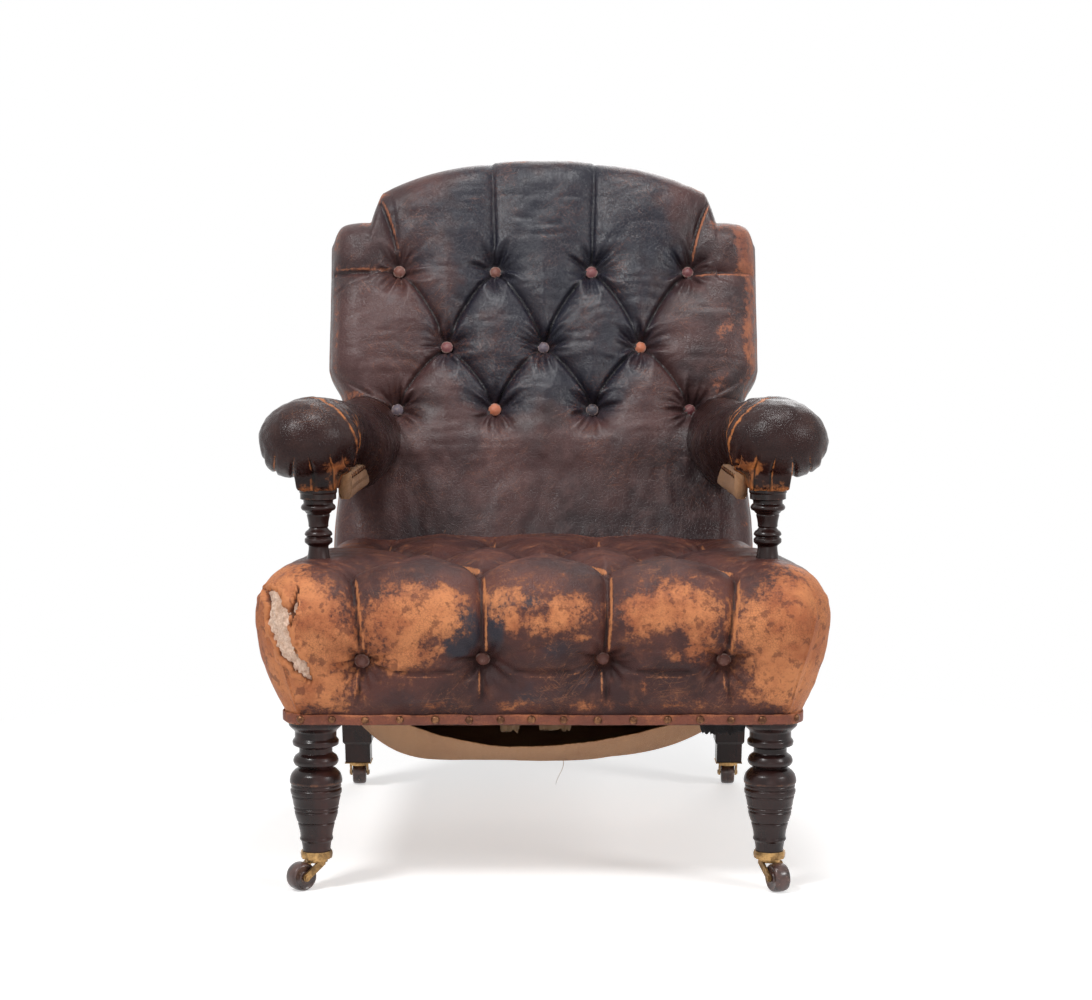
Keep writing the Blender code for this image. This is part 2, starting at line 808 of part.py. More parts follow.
def addCornerCut(root):
    """Room for the rear legs and the arm posts, through everything that lies on the rails."""
    bm = bmesh.new()
    legInner = min(REAR_LEG_X - REAR_LEG_THICK / 2, STILE_OUTER_X - STILE_WIDTH) - LEG_CLEARANCE
    low = RAIL_BOTTOM - CUT_PAST
    high = SEAT_CREST_HEIGHT + FAR
    for side in (-1, 1):
        xs = sorted((side * legInner, side * FAR))
        addBox(bm, (xs[0], rearLegFrontY() - LEG_CLEARANCE, low), (xs[1], REAR_LEG_Y + FAR, high))
        radius = POST_FOOT + POST_CLEARANCE
        place = (side * postX(), POST_Y)
        addRings(bm, [circleRing(radius, z, TURNED_SIDES, place) for z in (low, high)])
    return addObject("cut_leg_and_post_space", bm, None, root)


def railPlan(clearance):
    """Plan of the rails' outer faces, carried on past the rear legs."""
    front = railFrontY() - clearance
    blockRear = FRONT_LEG_Y + LEG_BLOCK / 2
    right = []
    for y in (front, blockRear, rearLegFrontY(), REAR_LEG_Y + FAR):
        right.append((railOuterX(y) + clearance, y))
    return [(-x, y) for x, y in right] + right[::-1]


def addEgg(bm, place, across, along, out, sizes, segments=12, rings=6):
    """An egg-shaped solid with its own three directions."""
    levels = []
    for i in range(1, rings):
        angle = math.pi * i / rings
        ring = []
        for k in range(segments):
            turn = 2 * math.pi * k / segments
            girth = math.sin(angle)
            point = place - along * (sizes[1] * math.cos(angle))
            point += across * (sizes[0] * girth * math.cos(turn))
            point += out * (sizes[2] * girth * math.sin(turn))
            ring.append(point)
        levels.append(ring)
    addRings(bm, levels)


def buildTear(root, mats, cover):
    """The split at the front left corner, with the wadding that shows in it."""
    x = -seatCore()[0] - TEAR_OUT
    v = seatCore()[2] - WALL * TEAR_V_SHARE
    out = seatOut(x, v)
    reach = TEAR_HALF[1]
    down = seatSurface(x + reach / 2, v - reach) - seatSurface(x - reach / 2, v + reach)
    down = (down - out * down.dot(out)).normalized()
    across = out.cross(down)
    place = seatSurface(x, v) - out * TEAR_SUNK
    bm = bmesh.new()
    addEgg(bm, place, across, down, out, [size + TOUCH for size in TEAR_HALF])
    cutWith(cover, addObject("cut_tear", bm, None, root))
    bm = bmesh.new()
    addEgg(bm, place, across, down, out, TEAR_HALF)
    addObject("torn_wadding", bm, mats["wadding"], root, smooth=True)


# Timber frame

def frontLegProfile():
    """Radius and height of the turned front leg, from the foot to the dish under its block."""
    wide = FRONT_LEG_RADIUS
    ankle = FRONT_LEG_ANKLE
    height = RAIL_BOTTOM - TOUCH - FOOT_HEIGHT
    shape = [
        (ankle, 0.000), (ankle, 0.056), (ankle * 1.08, 0.112), (ankle * 1.20, 0.133),
        (ankle * 1.15, 0.152), (wide * 0.70, 0.244), (wide * 0.82, 0.324), (wide * 0.89, 0.413),
        (wide * 0.98, 0.493), (wide * 0.955, 0.518), (wide, 0.560), (wide * 0.95, 0.605),
        (wide * 0.80, 0.640), (wide * 0.65, 0.661), (wide * 0.80, 0.680), (wide * 0.86, 0.708),
        (wide * 0.80, 0.740), (wide * 0.63, 0.770), (wide * 0.63, 0.800), (wide * 0.86, 0.826),
        (wide * 0.88, 0.850), (wide * 0.79, 0.882), (wide * 0.79, 0.918), (wide * 1.02, 0.975),
        (wide * 1.02, 1.0),
    ]
    return [(radius, FOOT_HEIGHT + share * height) for radius, share in shape]


def buildFrontLeg(root, mats, side, name):
    bm = bmesh.new()
    addTurned(bm, frontLegProfile())
    leg = addObject(name, bm, mats["mahogany"], root, smooth=True)
    leg.location = (side * FRONT_LEG_X, FRONT_LEG_Y, 0)
    bm = bmesh.new()
    half = LEG_BLOCK / 2
    addBox(bm, (-half, -half, RAIL_BOTTOM - 3 * TOUCH), (half, half, railTop()))
    block = addObject("join_block_" + name, bm, None, root)
    block.location = leg.location
    joinWith(leg, block)
    drillStem(leg, root, name, (0, 0))


def drillStem(leg, root, name, centre):
    """Blind hole up the foot for the caster's stem."""
    bm = bmesh.new()
    radius = STEM_RADIUS + RUNNING_GAP
    top = FOOT_HEIGHT + STEM_LENGTH + RUNNING_GAP
    low = FOOT_HEIGHT - CUT_PAST
    addRings(bm, [circleRing(radius, z, TURNED_SIDES, centre) for z in (low, top)])
    hole = addObject("cut_stem_" + name, bm, None, root)
    hole.location = leg.location
    cutWith(leg, hole)


def rearLegAt(z):
    """How far back the raked rear leg stands at a height."""
    return mix(REAR_FOOT_Y, REAR_LEG_Y, (z - FOOT_HEIGHT) / (RAIL_BOTTOM - FOOT_HEIGHT))


def rearLegSections():
    """Four corners of the rear leg and stile at each level, from the foot up."""
    half = REAR_LEG_THICK / 2
    foot = REAR_FOOT_THICK / 2
    socket = FOOT_HEIGHT + REAR_SOCKET_HEIGHT
    shoulder = socket + REAR_SOCKET_STEP
    sections = []
    for y, size, z in ((REAR_FOOT_Y, foot, FOOT_HEIGHT), (rearLegAt(socket), foot, socket),
                       (rearLegAt(shoulder), foot + REAR_SOCKET_FLARE, shoulder),
                       (REAR_LEG_Y, half, RAIL_BOTTOM), (REAR_LEG_Y, half, railTop())):
        corners = ((-size, -size), (size, -size), (size, size), (-size, size))
        sections.append([(REAR_LEG_X + a, y + b, z) for a, b in corners])
    inner = STILE_OUTER_X - STILE_WIDTH
    front, rear = stileFrontN(), stileRearN()
    corners = ((inner, front), (STILE_OUTER_X, front), (STILE_OUTER_X, rear), (inner, rear))
    for s in (STILE_FOOT, STILE_TOP):
        sections.append([tuple(backPoint(x, n, s)) for x, n in corners])
    return sections


def buildRearLeg(root, mats, side, name):
    bm = bmesh.new()
    addRings(bm, [[Vector((side * x, y, z)) for x, y, z in section] for section in rearLegSections()])
    leg = addObject(name, bm, mats["mahogany"], root)
    drillStem(leg, root, name, (side * REAR_LEG_X, REAR_FOOT_Y))


def buildSeatRails(root, mats):
    """Front, side and rear rails, fitted between the leg blocks."""
    half = LEG_BLOCK / 2
    inner = FRONT_LEG_X - half - TOUCH
    bm = bmesh.new()
    addBox(bm, (-inner, railFrontY(), RAIL_BOTTOM), (inner, railFrontY() + RAIL_THICK, railTop()))
    addObject("front_rail", bm, mats["beech"], root)

    rearInner = REAR_LEG_X - REAR_LEG_THICK / 2 - TOUCH
    rear = REAR_LEG_Y + REAR_LEG_THICK / 2
    bm = bmesh.new()
    addBox(bm, (-rearInner, rear - BACK_RAIL_THICK, RAIL_BOTTOM), (rearInner, rear, railTop()))
    addObject("back_rail", bm, mats["beech"], root)

    front = FRONT_LEG_Y + half + TOUCH
    back = rearLegFrontY() - TOUCH
    for side, name in ((-1, "left"), (1, "right")):
        outline = [(side * railOuterX(y), y) for y in (front, back)]
        outline += [(side * (railOuterX(y) - RAIL_THICK), y) for y in (back, front)]
        bm = bmesh.new()
        addPrism(bm, outline, RAIL_BOTTOM, railTop(), flat)
        addObject("side_rail_" + name, bm, mats["beech"], root)


def buildCornerBlocks(root, mats):
    """Glue blocks behind the front legs, where the casters push hardest."""
    top = railTop() - CORNER_BLOCK_DROP
    y = max(railFrontY() + RAIL_THICK, FRONT_LEG_Y + LEG_BLOCK / 2) + TOUCH
    x = min(railOuterX(y + CORNER_BLOCK) - RAIL_THICK, FRONT_LEG_X - LEG_BLOCK / 2) - TOUCH
    for side, name in ((-1, "left"), (1, "right")):
        bm = bmesh.new()
        corner = [(side * x, y), (side * (x - CORNER_BLOCK), y), (side * x, y + CORNER_BLOCK)]
        addPrism(bm, corner, top - CORNER_BLOCK_HEIGHT, top, flat)
        addObject("corner_block_" + name, bm, mats["beech"], root)


def crestTopAt(x):
    """Top edge of the upholstered back: ears, stepped shoulders and an arched crest."""
    x = abs(x)
    if x >= SHOULDER_X:
        share = (x - SHOULDER_X) / (EAR_X - SHOULDER_X)
        return EAR_TOP - EAR_DROP * share ** 2
    if x >= SHOULDER_INNER_X:
        share = (SHOULDER_X - x) / (SHOULDER_X - SHOULDER_INNER_X)
        return mix(EAR_TOP, SHOULDER_TOP, math.sin(share * math.pi / 2))
    share = x / SHOULDER_INNER_X
    return mix(CREST_TOP, SHOULDER_TOP, share ** CREST_CURVE)


def crestRailTop(lift):
    """Top edge of the wooden crest rail, from right to left between the stiles."""
    inner = STILE_OUTER_X - STILE_WIDTH - TOUCH
    return [(x, crestTopAt(x) - CREST_PADDING + lift) for x in spread(inner, -inner, 24)]


def buildBackRails(root, mats):
    inner = STILE_OUTER_X - STILE_WIDTH - TOUCH
    outline = [(-inner, CREST_RAIL_BOTTOM), (inner, CREST_RAIL_BOTTOM)] + crestRailTop(0.0)
    bm = bmesh.new()
    addPrism(bm, outline, stileFrontN(), stileRearN(), lambda a, b, c: backPoint(a, c, b))
    addObject("crest_rail", bm, mats["beech"], root)
    bm = bmesh.new()
    top = STAY_RAIL_BOTTOM + STAY_RAIL_HEIGHT
    outline = [(-inner, STAY_RAIL_BOTTOM), (inner, STAY_RAIL_BOTTOM), (inner, top), (-inner, top)]
    addPrism(bm, outline, stileFrontN(), stileRearN(), lambda a, b, c: backPoint(a, c, b))
    addObject("back_stay_rail", bm, mats["beech"], root)


def postProfile():
    """Radius and height of the turned arm post, from the side rail to the arm rail."""
    low = railTop() + TOUCH
    high = ARM_RAIL_BOTTOM - TOUCH
    waist = POST_WAIST
    collar = POST_COLLAR
    shape = [
        (POST_FOOT, 0.0), (POST_FOOT, 0.30), (POST_FOOT * 0.9, 0.33), (waist * 1.16, 0.37),
        (waist * 1.33, 0.50), (waist, 0.645), (waist * 1.40, 0.672), (waist * 1.40, 0.688),
        (waist * 1.20, 0.702), (waist * 1.40, 0.716), (waist * 1.30, 0.732), (waist, 0.750),
        (waist, 0.772), (waist * 1.13, 0.822), (waist * 1.36, 0.856), (collar * 0.88, 0.866),
        (collar * 0.92, 0.880), (collar * 0.86, 0.894), (collar * 0.78, 0.904), (collar * 0.80, 0.924),
        (collar * 0.95, 0.930), (collar * 0.95, 0.963), (collar, 0.970), (collar, 1.0),
    ]
    return [(radius, mix(low, high, share)) for radius, share in shape]


def armRailRear():
    """The rear end of the arm rail, square against the front of the stile."""
    middle = ARM_RAIL_BOTTOM + ARM_RAIL_HEIGHT / 2
    s = backSlopeAt(stileFrontN(), middle)
    return backPoint(0, stileFrontN(), s).y


def armRailX(y):
    share = (y - POST_Y) / (armRailRear() - POST_Y)
    rearX = STILE_OUTER_X - STILE_WIDTH / 2
    return mix(postX(), rearX, share)


def armRailPlan(grow, front, rear):
    half = ARM_RAIL_WIDTH / 2 + grow
    return [
        (armRailX(front) - half, front), (armRailX(front) + half, front),
        (armRailX(rear) + half, rear), (armRailX(rear) - half, rear),
    ]


def addArmRail(bm, side, grow, front, rearGap):
    """The arm rail; its rear end leans with the stile."""
    low = ARM_RAIL_BOTTOM - grow
    high = ARM_RAIL_BOTTOM + ARM_RAIL_HEIGHT + grow
    points = []
    for z in (low, high):
        rear = backPoint(0, stileFrontN(), backSlopeAt(stileFrontN(), z)).y - rearGap
        points.append([Vector((side * x, y, z)) for x, y in armRailPlan(grow, front, rear)])
    addRings(bm, points)


def buildArmFrame(root, mats, side, name):
    bm = bmesh.new()
    addTurned(bm, postProfile())
    post = addObject("arm_post_" + name, bm, mats["mahogany"], root, smooth=True)
    post.location = (side * postX(), POST_Y, 0)
    bm = bmesh.new()
    addArmRail(bm, side, 0.0, POST_Y - ARM_RAIL_FRONT, TOUCH)
    addObject("arm_rail_" + name, bm, mats["beech"], root)


# Back padding

def backHalfWidth(s):
    """Half width of the upholstered back at a level up the slope."""
    if s >= EAR_BOTTOM:
        return mix(BACK_WAIST_X, EAR_X, ease((s - EAR_BOTTOM) / EAR_SWEEP))
    return BACK_WAIST_X + BACK_FLARE * ease((BACK_FLARE_LEVEL - s) / BACK_FLARE_HEIGHT)


def backColumns():
    """Column places across the back as shares of its half width, denser at the shoulders."""
    step = BUTTON_SPACING / 8 / EAR_X
    right = [i * step for i in range(1, 13)]
    shoulder = SHOULDER_X / EAR_X
    right += [SHOULDER_INNER_X / EAR_X] + spread(shoulder, 1.0, 3)
    return [-share for share in reversed(right)] + [0.0] + right


def backFace(t, w):
    """Smooth front of the back at a share t across and a share w up."""
    top = crestTopAt(t * EAR_X)
    s = mix(backBottom(), top, w)
    x = t * backHalfWidth(s)
    sides = roundOver((1 - abs(t)) * EAR_X / BACK_ROUND)
    crest = roundOver((top - s) / BACK_ROUND)
    return x, -mix(BACK_RIM, BACK_THICK, sides * crest), s


def backButtons():
    halfStep = BUTTON_SPACING / 2
    places = [(k * halfStep, BACK_ROWS[0]) for k in (-3, -1, 1, 3)]
    places += [(k * halfStep, BACK_ROWS[1]) for k in (-2, 0, 2)]
    places += [(k * halfStep, BACK_ROWS[2]) for k in (-3, -1, 1, 3)]
    return [(x * BACK_BUTTON_SPREAD, s) for x, s in places]


def backPleats():
    """Pleats of the back: diamonds between the rows, seams to the crest, folds to the ears."""
    halfStep = BUTTON_SPACING / 2 * BACK_BUTTON_SPREAD
    top, middle, low = BACK_ROWS
    pleats = []
    for k in (-3, -1, 1, 3):
        x = k * halfStep
        for side in (-1, 1):
            target = x + side * halfStep
            if abs(target) < 2.5 * halfStep:
                pleats.append(((x, top), (target, middle), PLEAT, PLEAT))
                pleats.append(((target, middle), (x, low), PLEAT, PLEAT))
    for side in (-1, 1):
        inner = side * halfStep
        outer = side * 3 * halfStep
        pleats.append(((inner, top), (inner * NOTCH_SPREAD, CREST_TOP), PLEAT, FAINT_PLEAT))
        pleats.append(((outer, top), (side * SHOULDER_X, EAR_TOP), PLEAT, PLEAT))
        pleats.append(((outer, top), (side * EAR_X, top), PLEAT, SOFT_PLEAT))
        pleats.append(((outer, low), (side * EAR_X, low + EAR_FOLD_RISE), PLEAT, SOFT_PLEAT))
        pleats.append(((inner, low), (inner, low - LOW_FOLD), PLEAT, FAINT_PLEAT))
    return pleats


def backRelief(x, s):
    fadeLow = ease((s - BACK_ROWS[-1] + LOW_FADE_START) / LOW_FADE)
    fadeTop = ease((crestTopAt(x) - s + CREST_FADE_START) / CREST_FADE)
    return tufted(x, s, backPleats(), backButtons(), BACK_TUFT, BACK_PUFF) * fadeLow * fadeTop


def backSurface(t, w):
    x, n, s = backFace(t, w)
    fadeSide = ease((1 - abs(t)) * EAR_X / EDGE_FADE)
    return backPoint(x, n - backRelief(x, s) * mix(EDGE_RELIEF, 1.0, fadeSide), s)


def addRimmed(bm, grid, rings):
    """A grid face carried back through rings that follow its rim, closed by a flat end."""
    rows = len(grid)
    columns = len(grid[0])
    verts = [[bm.verts.new(point) for point in row] for row in grid]
    for i in range(rows - 1):
        for j in range(columns - 1):
            bm.faces.new((verts[i][j], verts[i][j + 1], verts[i + 1][j + 1], verts[i + 1][j]))
    previous = [verts[i][j] for i, j in gridRim(rows, columns)]
    for ring in rings:
        current = [bm.verts.new(point) for point in ring]
        count = len(current)
        for i in range(count):
            j = (i + 1) % count
            bm.faces.new((previous[i], previous[j], current[j], current[i]))
        previous = current
    bm.faces.new(previous)


def addBackBody(bm):
    """The whole padded back: front face, then its edges carried to the rear."""
    columns = backColumns()
    ws = spread(0.0, 1.0, BACK_GRID_ROWS)
    grid = [[backSurface(t, w) for t in columns] for w in ws]
    rings = []
    for level in (BACK_EDGE_LEVEL, stileRearN()):
        ring = []
        for i, j in gridRim(len(ws), len(columns)):
            x, n, s = backFace(columns[j], ws[i])
            share = (n - level) / (n - stileRearN())
            swell = BACK_EDGE_SWELL * math.sin(math.pi * share)
            x += math.copysign(swell, x) if abs(columns[j]) == 1.0 else 0.0
            s += swell if ws[i] == 1.0 else 0.0
            ring.append(backPoint(x, level, s))
        rings.append(ring)
    addRimmed(bm, grid, rings)


def backMound(base, shrink):
    """The smooth pad inside the back, under the quilted leather."""
    margin = BACK_PAD_INSET + shrink
    low = STAY_RAIL_BOTTOM + margin
    high = EAR_TOP - BACK_PAD_DROP - margin
    edge = -stileFrontN() + BACK_PAD_EDGE - shrink

    def half(s):
        return STILE_OUTER_X - margin

    def top(s):
        return BACK_THICK - BACK_QUILT - shrink

    return moundGrid(half, low, high, base, edge, top, lambda x, s, level: backPoint(x, -level, s))


def backButtonFrames():
    out = (backPoint(0, -1, 0) - backPoint(0, 0, 0)).normalized()
    frames = []
    for x, s in backButtons():
        n = -BACK_THICK - backRelief(x, s)
        frames.append((backPoint(x, n, s), out))
    return frames


def leaning(a, b, c):
    return backPoint(a, c, b)


def addPanel(bm, left, right, low, high, rear, thick):
    """A flat strip in the back's own frame, from its rear face forwards."""
    outline = [(left, low), (right, low), (right, high), (left, high)]
    addPrism(bm, outline, rear - thick, rear, leaning)


def buildBack(root, mats):
    bm = bmesh.new()
    addBackBody(bm)
    cover = addObject("back_cover", bm, mats["dark_leather"], root, smooth=True)
    joinButtons(root, cover, backButtonFrames(), "join_back_buttons")

    bm = bmesh.new()
    side = STILE_OUTER_X + TOUCH
    earTop = STILE_TOP + 2 * TOUCH
    low = backBottom() - 3 * CUT_PAST
    outline = [(-side, low), (side, low), (side, earTop)] + crestRailTop(2 * TOUCH) + [(-side, earTop)]
    addPrism(bm, outline, stileFrontN() - TOUCH, 2 * CUT_PAST, leaning)
    cutWith(cover, addObject("cut_frame_space", bm, None, root))
    bm = bmesh.new()
    addCushion(bm, backMound(-stileFrontN() - 2 * WEB_THICK, 0.0), split=True)
    cutWith(cover, addObject("cut_pad_space", bm, None, root))

    bm = bmesh.new()
    for side in (-1, 1):
        addArmRail(bm, side, ARM_RAIL_CLEARANCE, POST_Y, -CUT_PAST)
    railSpace = addObject("cut_arm_rail_space", bm, None, root)
    cutWith(cover, railSpace)

    bm = bmesh.new()
    base = -stileFrontN() + WEB_THICK * 1.5 + CLOTH_THICK + 4 * TOUCH
    addCushion(bm, backMound(base, TOUCH), split=True)
    stuffing = addObject("back_stuffing", bm, mats["hair"], root, smooth=True)
    cutWith(stuffing, railSpace)
    buildBackLining(root, mats, railSpace)
    buildOutsideBack(root, mats)


def buildBackLining(root, mats, railSpace):
    """Webbing and hessian stretched over the front of the back frame."""
    face = stileFrontN() - TOUCH
    low = STAY_RAIL_BOTTOM + BACK_LINING_LOW
    high = CREST_RAIL_BOTTOM + BACK_LINING_HIGH
    half = STILE_OUTER_X - BACK_LINING_INSET
    bm = bmesh.new()
    for x in BACK_WEB_X:
        addPanel(bm, x - WEB_WIDTH / 2, x + WEB_WIDTH / 2, low, high, face, WEB_THICK)
    webs = addObject("back_webbing", bm, mats["webbing"], root)
    bm = bmesh.new()
    for s in BACK_WEB_LEVELS:
        addPanel(bm, -half, half, s, s + WEB_WIDTH, face - WEB_THICK / 2, WEB_THICK)
    joinWith(webs, addObject("join_cross_webs", bm, None, root))
    cutWith(webs, railSpace)
    bm = bmesh.new()
    addPanel(bm, -half, half, low + WEB_THICK, high, face - WEB_THICK * 1.5 - TOUCH, CLOTH_THICK)
    hessian = addObject("back_hessian", bm, mats["hessian"], root)
    cutWith(hessian, railSpace)


def buildOutsideBack(root, mats):
    """One leather panel over the rear of the back, bent down over the back rail."""
    columns = backColumns()[::2]
    knee = backSlopeAt(0.0, railTop() + OUTSIDE_KNEE_RISE)
    railRear = REAR_LEG_Y + REAR_LEG_THICK / 2 + TOUCH
    half = REAR_LEG_X + REAR_LEG_THICK / 2
    outer = []
    inner = []
    for level in (RAIL_BOTTOM + OUTSIDE_LEATHER / 2, railTop() - OUTSIDE_LEATHER):
        inner.append([Vector((t * half, railRear, level)) for t in columns])
        outer.append([Vector((t * half, railRear + OUTSIDE_LEATHER, level)) for t in columns])
    rear = stileRearN() + TOUCH
    for share in OUTSIDE_ROWS:
        innerLine = []
        outerLine = []
        for t in columns:
            s = mix(knee, crestTopAt(t * EAR_X) - OUTSIDE_INSET, share)
            wide = backHalfWidth(s) if s > backBottom() else BACK_WAIST_X
            x = t * (wide - OUTSIDE_INSET)
            innerLine.append(backPoint(x, rear, s))
            outerLine.append(backPoint(x, rear + OUTSIDE_LEATHER, s))
        inner.append(innerLine)
        outer.append(outerLine)
    bm = bmesh.new()
    addSheet(bm, outer, inner)
    addObject("outside_back", bm, mats["dark_leather"], root, smooth=True)


# Arms

def armSection(share):
    """Centre x, centre z, half width and half height of the arm at a share of its length."""
    toRear = ease((share - ARM_TURN_START) / ARM_TURN_LENGTH)
    waist = 1 - ARM_NECK * math.exp(-((share - ARM_NECK_AT) / ARM_NECK_LENGTH) ** 2)
    x = mix(ARM_BULB_X, ARM_REAR_X, toRear)
    z = mix(ARM_BULB_Z, ARM_REAR_Z, toRear)
    wide = mix(ARM_BULB_WIDTH, ARM_REAR_WIDTH, toRear) / 2 * waist
    tall = mix(ARM_BULB_HEIGHT, ARM_REAR_HEIGHT, toRear) / 2 * waist
    return x, z, wide, tall


def armRear(z):
    """Where the arm's pad stops, just short of the back's padding."""
    return backPoint(0, -BACK_THICK - BACK_PUFF, backSlopeAt(-BACK_THICK, z)).y


def armPlaces(shrink, dome, count):
    """Places down the arm with the share of the full girth there, front dome first."""
    front = POST_Y - ARM_FRONT_REACH - ARM_BULB_REACH + shrink
    rear = armRear(ARM_REAR_Z) - ARM_BACK_GAP - shrink
    start = front + ARM_BULB_REACH
    places = []
    for u in dome:
        angle = u * math.pi / 2
        places.append((front + ARM_BULB_REACH * (1 - math.cos(angle)), math.sin(angle), 0.0))
    places += [(mix(start, rear, share), 1.0, share) for share in spread(0.0, 1.0, count)]
    return places


def gatherAt(angle, share, grow):
    """How much of the gathers' depth shows: on the lower front of the arm only."""
    low = ease((-math.sin(angle) + 0.15) / 0.6)
    near = math.exp(-(share / GATHER_LENGTH) ** 2) * ease((grow - 0.3) / 0.5)
    return low * near


def armRings(side, shrink, depth, sides, places):
    """Closed rings down the arm from the rounded front to the back."""
    rings = []
    for y, grow, share in places:
        x, z, wide, tall = armSection(share)
        ring = []
        for k in range(sides):
            angle = 2 * math.pi * k / sides
            flute = depth * math.cos(angle * sides / 2) * gatherAt(angle, share, grow)
            reachX = (wide - shrink) * grow + flute
            reachZ = (tall - shrink) * grow + flute
            lift = reachZ * math.sin(angle)
            lean = (lift + z - ARM_REAR_Z) * math.tan(BACK_RECLINE) * share ** 2
            ring.append(Vector((side * (x + reachX * math.cos(angle)), y + lean, z + lift)))
        rings.append(ring)
    return rings


def armCore(side, shrink):
    return armRings(side, shrink, 0.0, ARM_CORE_SIDES, armPlaces(shrink, ARM_CORE_DOME, ARM_CORE_RINGS))


def liningOutline(side):
    """Plan of the hessian strip inside the arm rail."""
    front = POST_Y + LINING_START
    rear = POST_Y + LINING_END
    inner = ARM_RAIL_WIDTH / 2 + TOUCH
    outline = [(armRailX(front) - inner, front), (armRailX(rear) - inner, rear)]
    outline += [(x - LINING_WIDTH, y) for x, y in reversed(outline)]
    return [(side * x, y) for x, y in outline]


def addLining(bm, side, grow):
    outline = liningOutline(side)
    centreX = sum(x for x, _ in outline) / 4
    centreY = sum(y for _, y in outline) / 4
    grown = []
    for x, y in outline:
        grown.append((x + math.copysign(grow, x - centreX), y + math.copysign(grow, y - centreY)))
    low = ARM_RAIL_BOTTOM - LINING_DROP - grow
    high = ARM_RAIL_BOTTOM + ARM_RAIL_HEIGHT * LINING_RISE_SHARE + grow
    addPrism(bm, grown, low, high, flat)


def buildArmPad(root, mats, side, name):
    bm = bmesh.new()
    addRings(bm, armRings(side, 0.0, GATHER_DEPTH, ARM_SIDES, armPlaces(0.0, ARM_DOME, ARM_RINGS)))
    cover = addObject("arm_cover_" + name, bm, mats["dark_leather"], root, smooth=True)

    bm = bmesh.new()
    addRings(bm, armCore(side, ARM_COVER))
    cutWith(cover, addObject("cut_arm_stuffing_" + name, bm, None, root))
    bm = bmesh.new()
    outline = armRailPlan(TOUCH, POST_Y - ARM_RAIL_FRONT - TOUCH, armRailRear())
    channel = [(side * x, y) for x, y in outline]
    high = ARM_RAIL_BOTTOM + ARM_RAIL_HEIGHT + TOUCH
    addPrism(bm, channel, ARM_RAIL_BOTTOM - ARM_REAR_HEIGHT, high, flat)
    channelCut = addObject("cut_arm_rail_" + name, bm, None, root)
    cutWith(cover, channelCut)
    bm = bmesh.new()
    addLining(bm, side, TOUCH)
    liningCut = addObject("cut_arm_lining_" + name, bm, None, root)
    cutWith(cover, liningCut)

    bm = bmesh.new()
    addRings(bm, armCore(side, ARM_COVER + STUFFING_GAP))
    stuffing = addObject("arm_stuffing_" + name, bm, mats["hair"], root, smooth=True)
    cutWith(stuffing, channelCut)
    cutWith(stuffing, liningCut)

    bm = bmesh.new()
    addLining(bm, side, 0.0)
    addObject("arm_lining_" + name, bm, mats["hessian"], root)


# Suspension under the seat

def buildWebbing(root, mats):
    """Crossing webs tacked under the seat rails, interlaced into one mat."""
    high = RAIL_BOTTOM - TOUCH
    lap = WEB_THICK / 2
    bm = bmesh.new()
    halfX = FRONT_LEG_X - WEB_INSET
    for y in SPRING_LINES_Y:
        low = (-halfX, y - WEB_WIDTH / 2, high - WEB_THICK)
        addBox(bm, low, (halfX, y + WEB_WIDTH / 2, high))
    webs = addObject("seat_webbing", bm, mats["webbing"], root)
    bm = bmesh.new()
    front = railFrontY() + WEB_INSET
    for x in SPRING_LINES_X:
        low = (x - WEB_WIDTH / 2, front, high - WEB_THICK - lap)
        addBox(bm, low, (x + WEB_WIDTH / 2, REAR_LEG_Y, high - lap))
    joinWith(webs, addObject("join_long_webs", bm, None, root))


def springPoints(low, high):
    """A waisted coil: wide at both ends and narrow in the middle."""
    count = SPRING_TURNS * 6
    points = []
    for i in range(count + 1):
        share = i / count
        angle = 2 * math.pi * SPRING_TURNS * share
        radius = mix(SPRING_WAIST, SPRING_RADIUS, abs(2 * share - 1) ** 1.3)
        height = mix(low, high, ease(share) * 0.5 + share * 0.5)
        points.append(Vector((radius * math.cos(angle), radius * math.sin(angle), height)))
    return points


def buildSprings(root, mats):
    low = RAIL_BOTTOM + SPRING_WIRE
    high = springRest() - SPRING_WIRE - TOUCH
    for row, y in zip(("front", "middle", "rear"), SPRING_LINES_Y):
        for column, x in zip(("left", "centre", "right"), SPRING_LINES_X):
            bm = bmesh.new()
            addTube(bm, springPoints(low, high), SPRING_WIRE, 4)
            spring = addObject("seat_spring_" + row + "_" + column, bm, mats["spring_steel"], root)
            spring.location = (x, y, 0)
    bm = bmesh.new()
    front = railFrontY() + WEB_INSET
    rear = REAR_LEG_Y - WEB_INSET
    right = [(railOuterX(y) - WEB_INSET, y) for y in (front, rear)]
    outline = [(-x, y) for x, y in right] + right[::-1]
    addPrism(bm, outline, springRest(), springRest() + CLOTH_THICK, flat)
    hessian = addObject("spring_hessian", bm, mats["hessian"], root)
    cutWith(hessian, bpy.data.objects["cut_leg_and_post_space"])


def bottomSag(x, y, front, rear):
    """How far the bottom cloth hangs: torn loose in front, held at the sides and rear."""
    across = 1 - (x / BOTTOM_CLOTH_HALF) ** 2
    share = (y - front) / (rear - front)
    if share < SAG_PEAK:
        along = mix(SAG_FRONT, 1.0, ease(share / SAG_PEAK))
    else:
        along = 1 - ease((share - SAG_PEAK) / (1 - SAG_PEAK))
    ripple = SAG_RIPPLE * math.sin(x * 38 + 1.2) * math.sin(y * 31)
    return (BOTTOM_SAG + ripple) * along * across


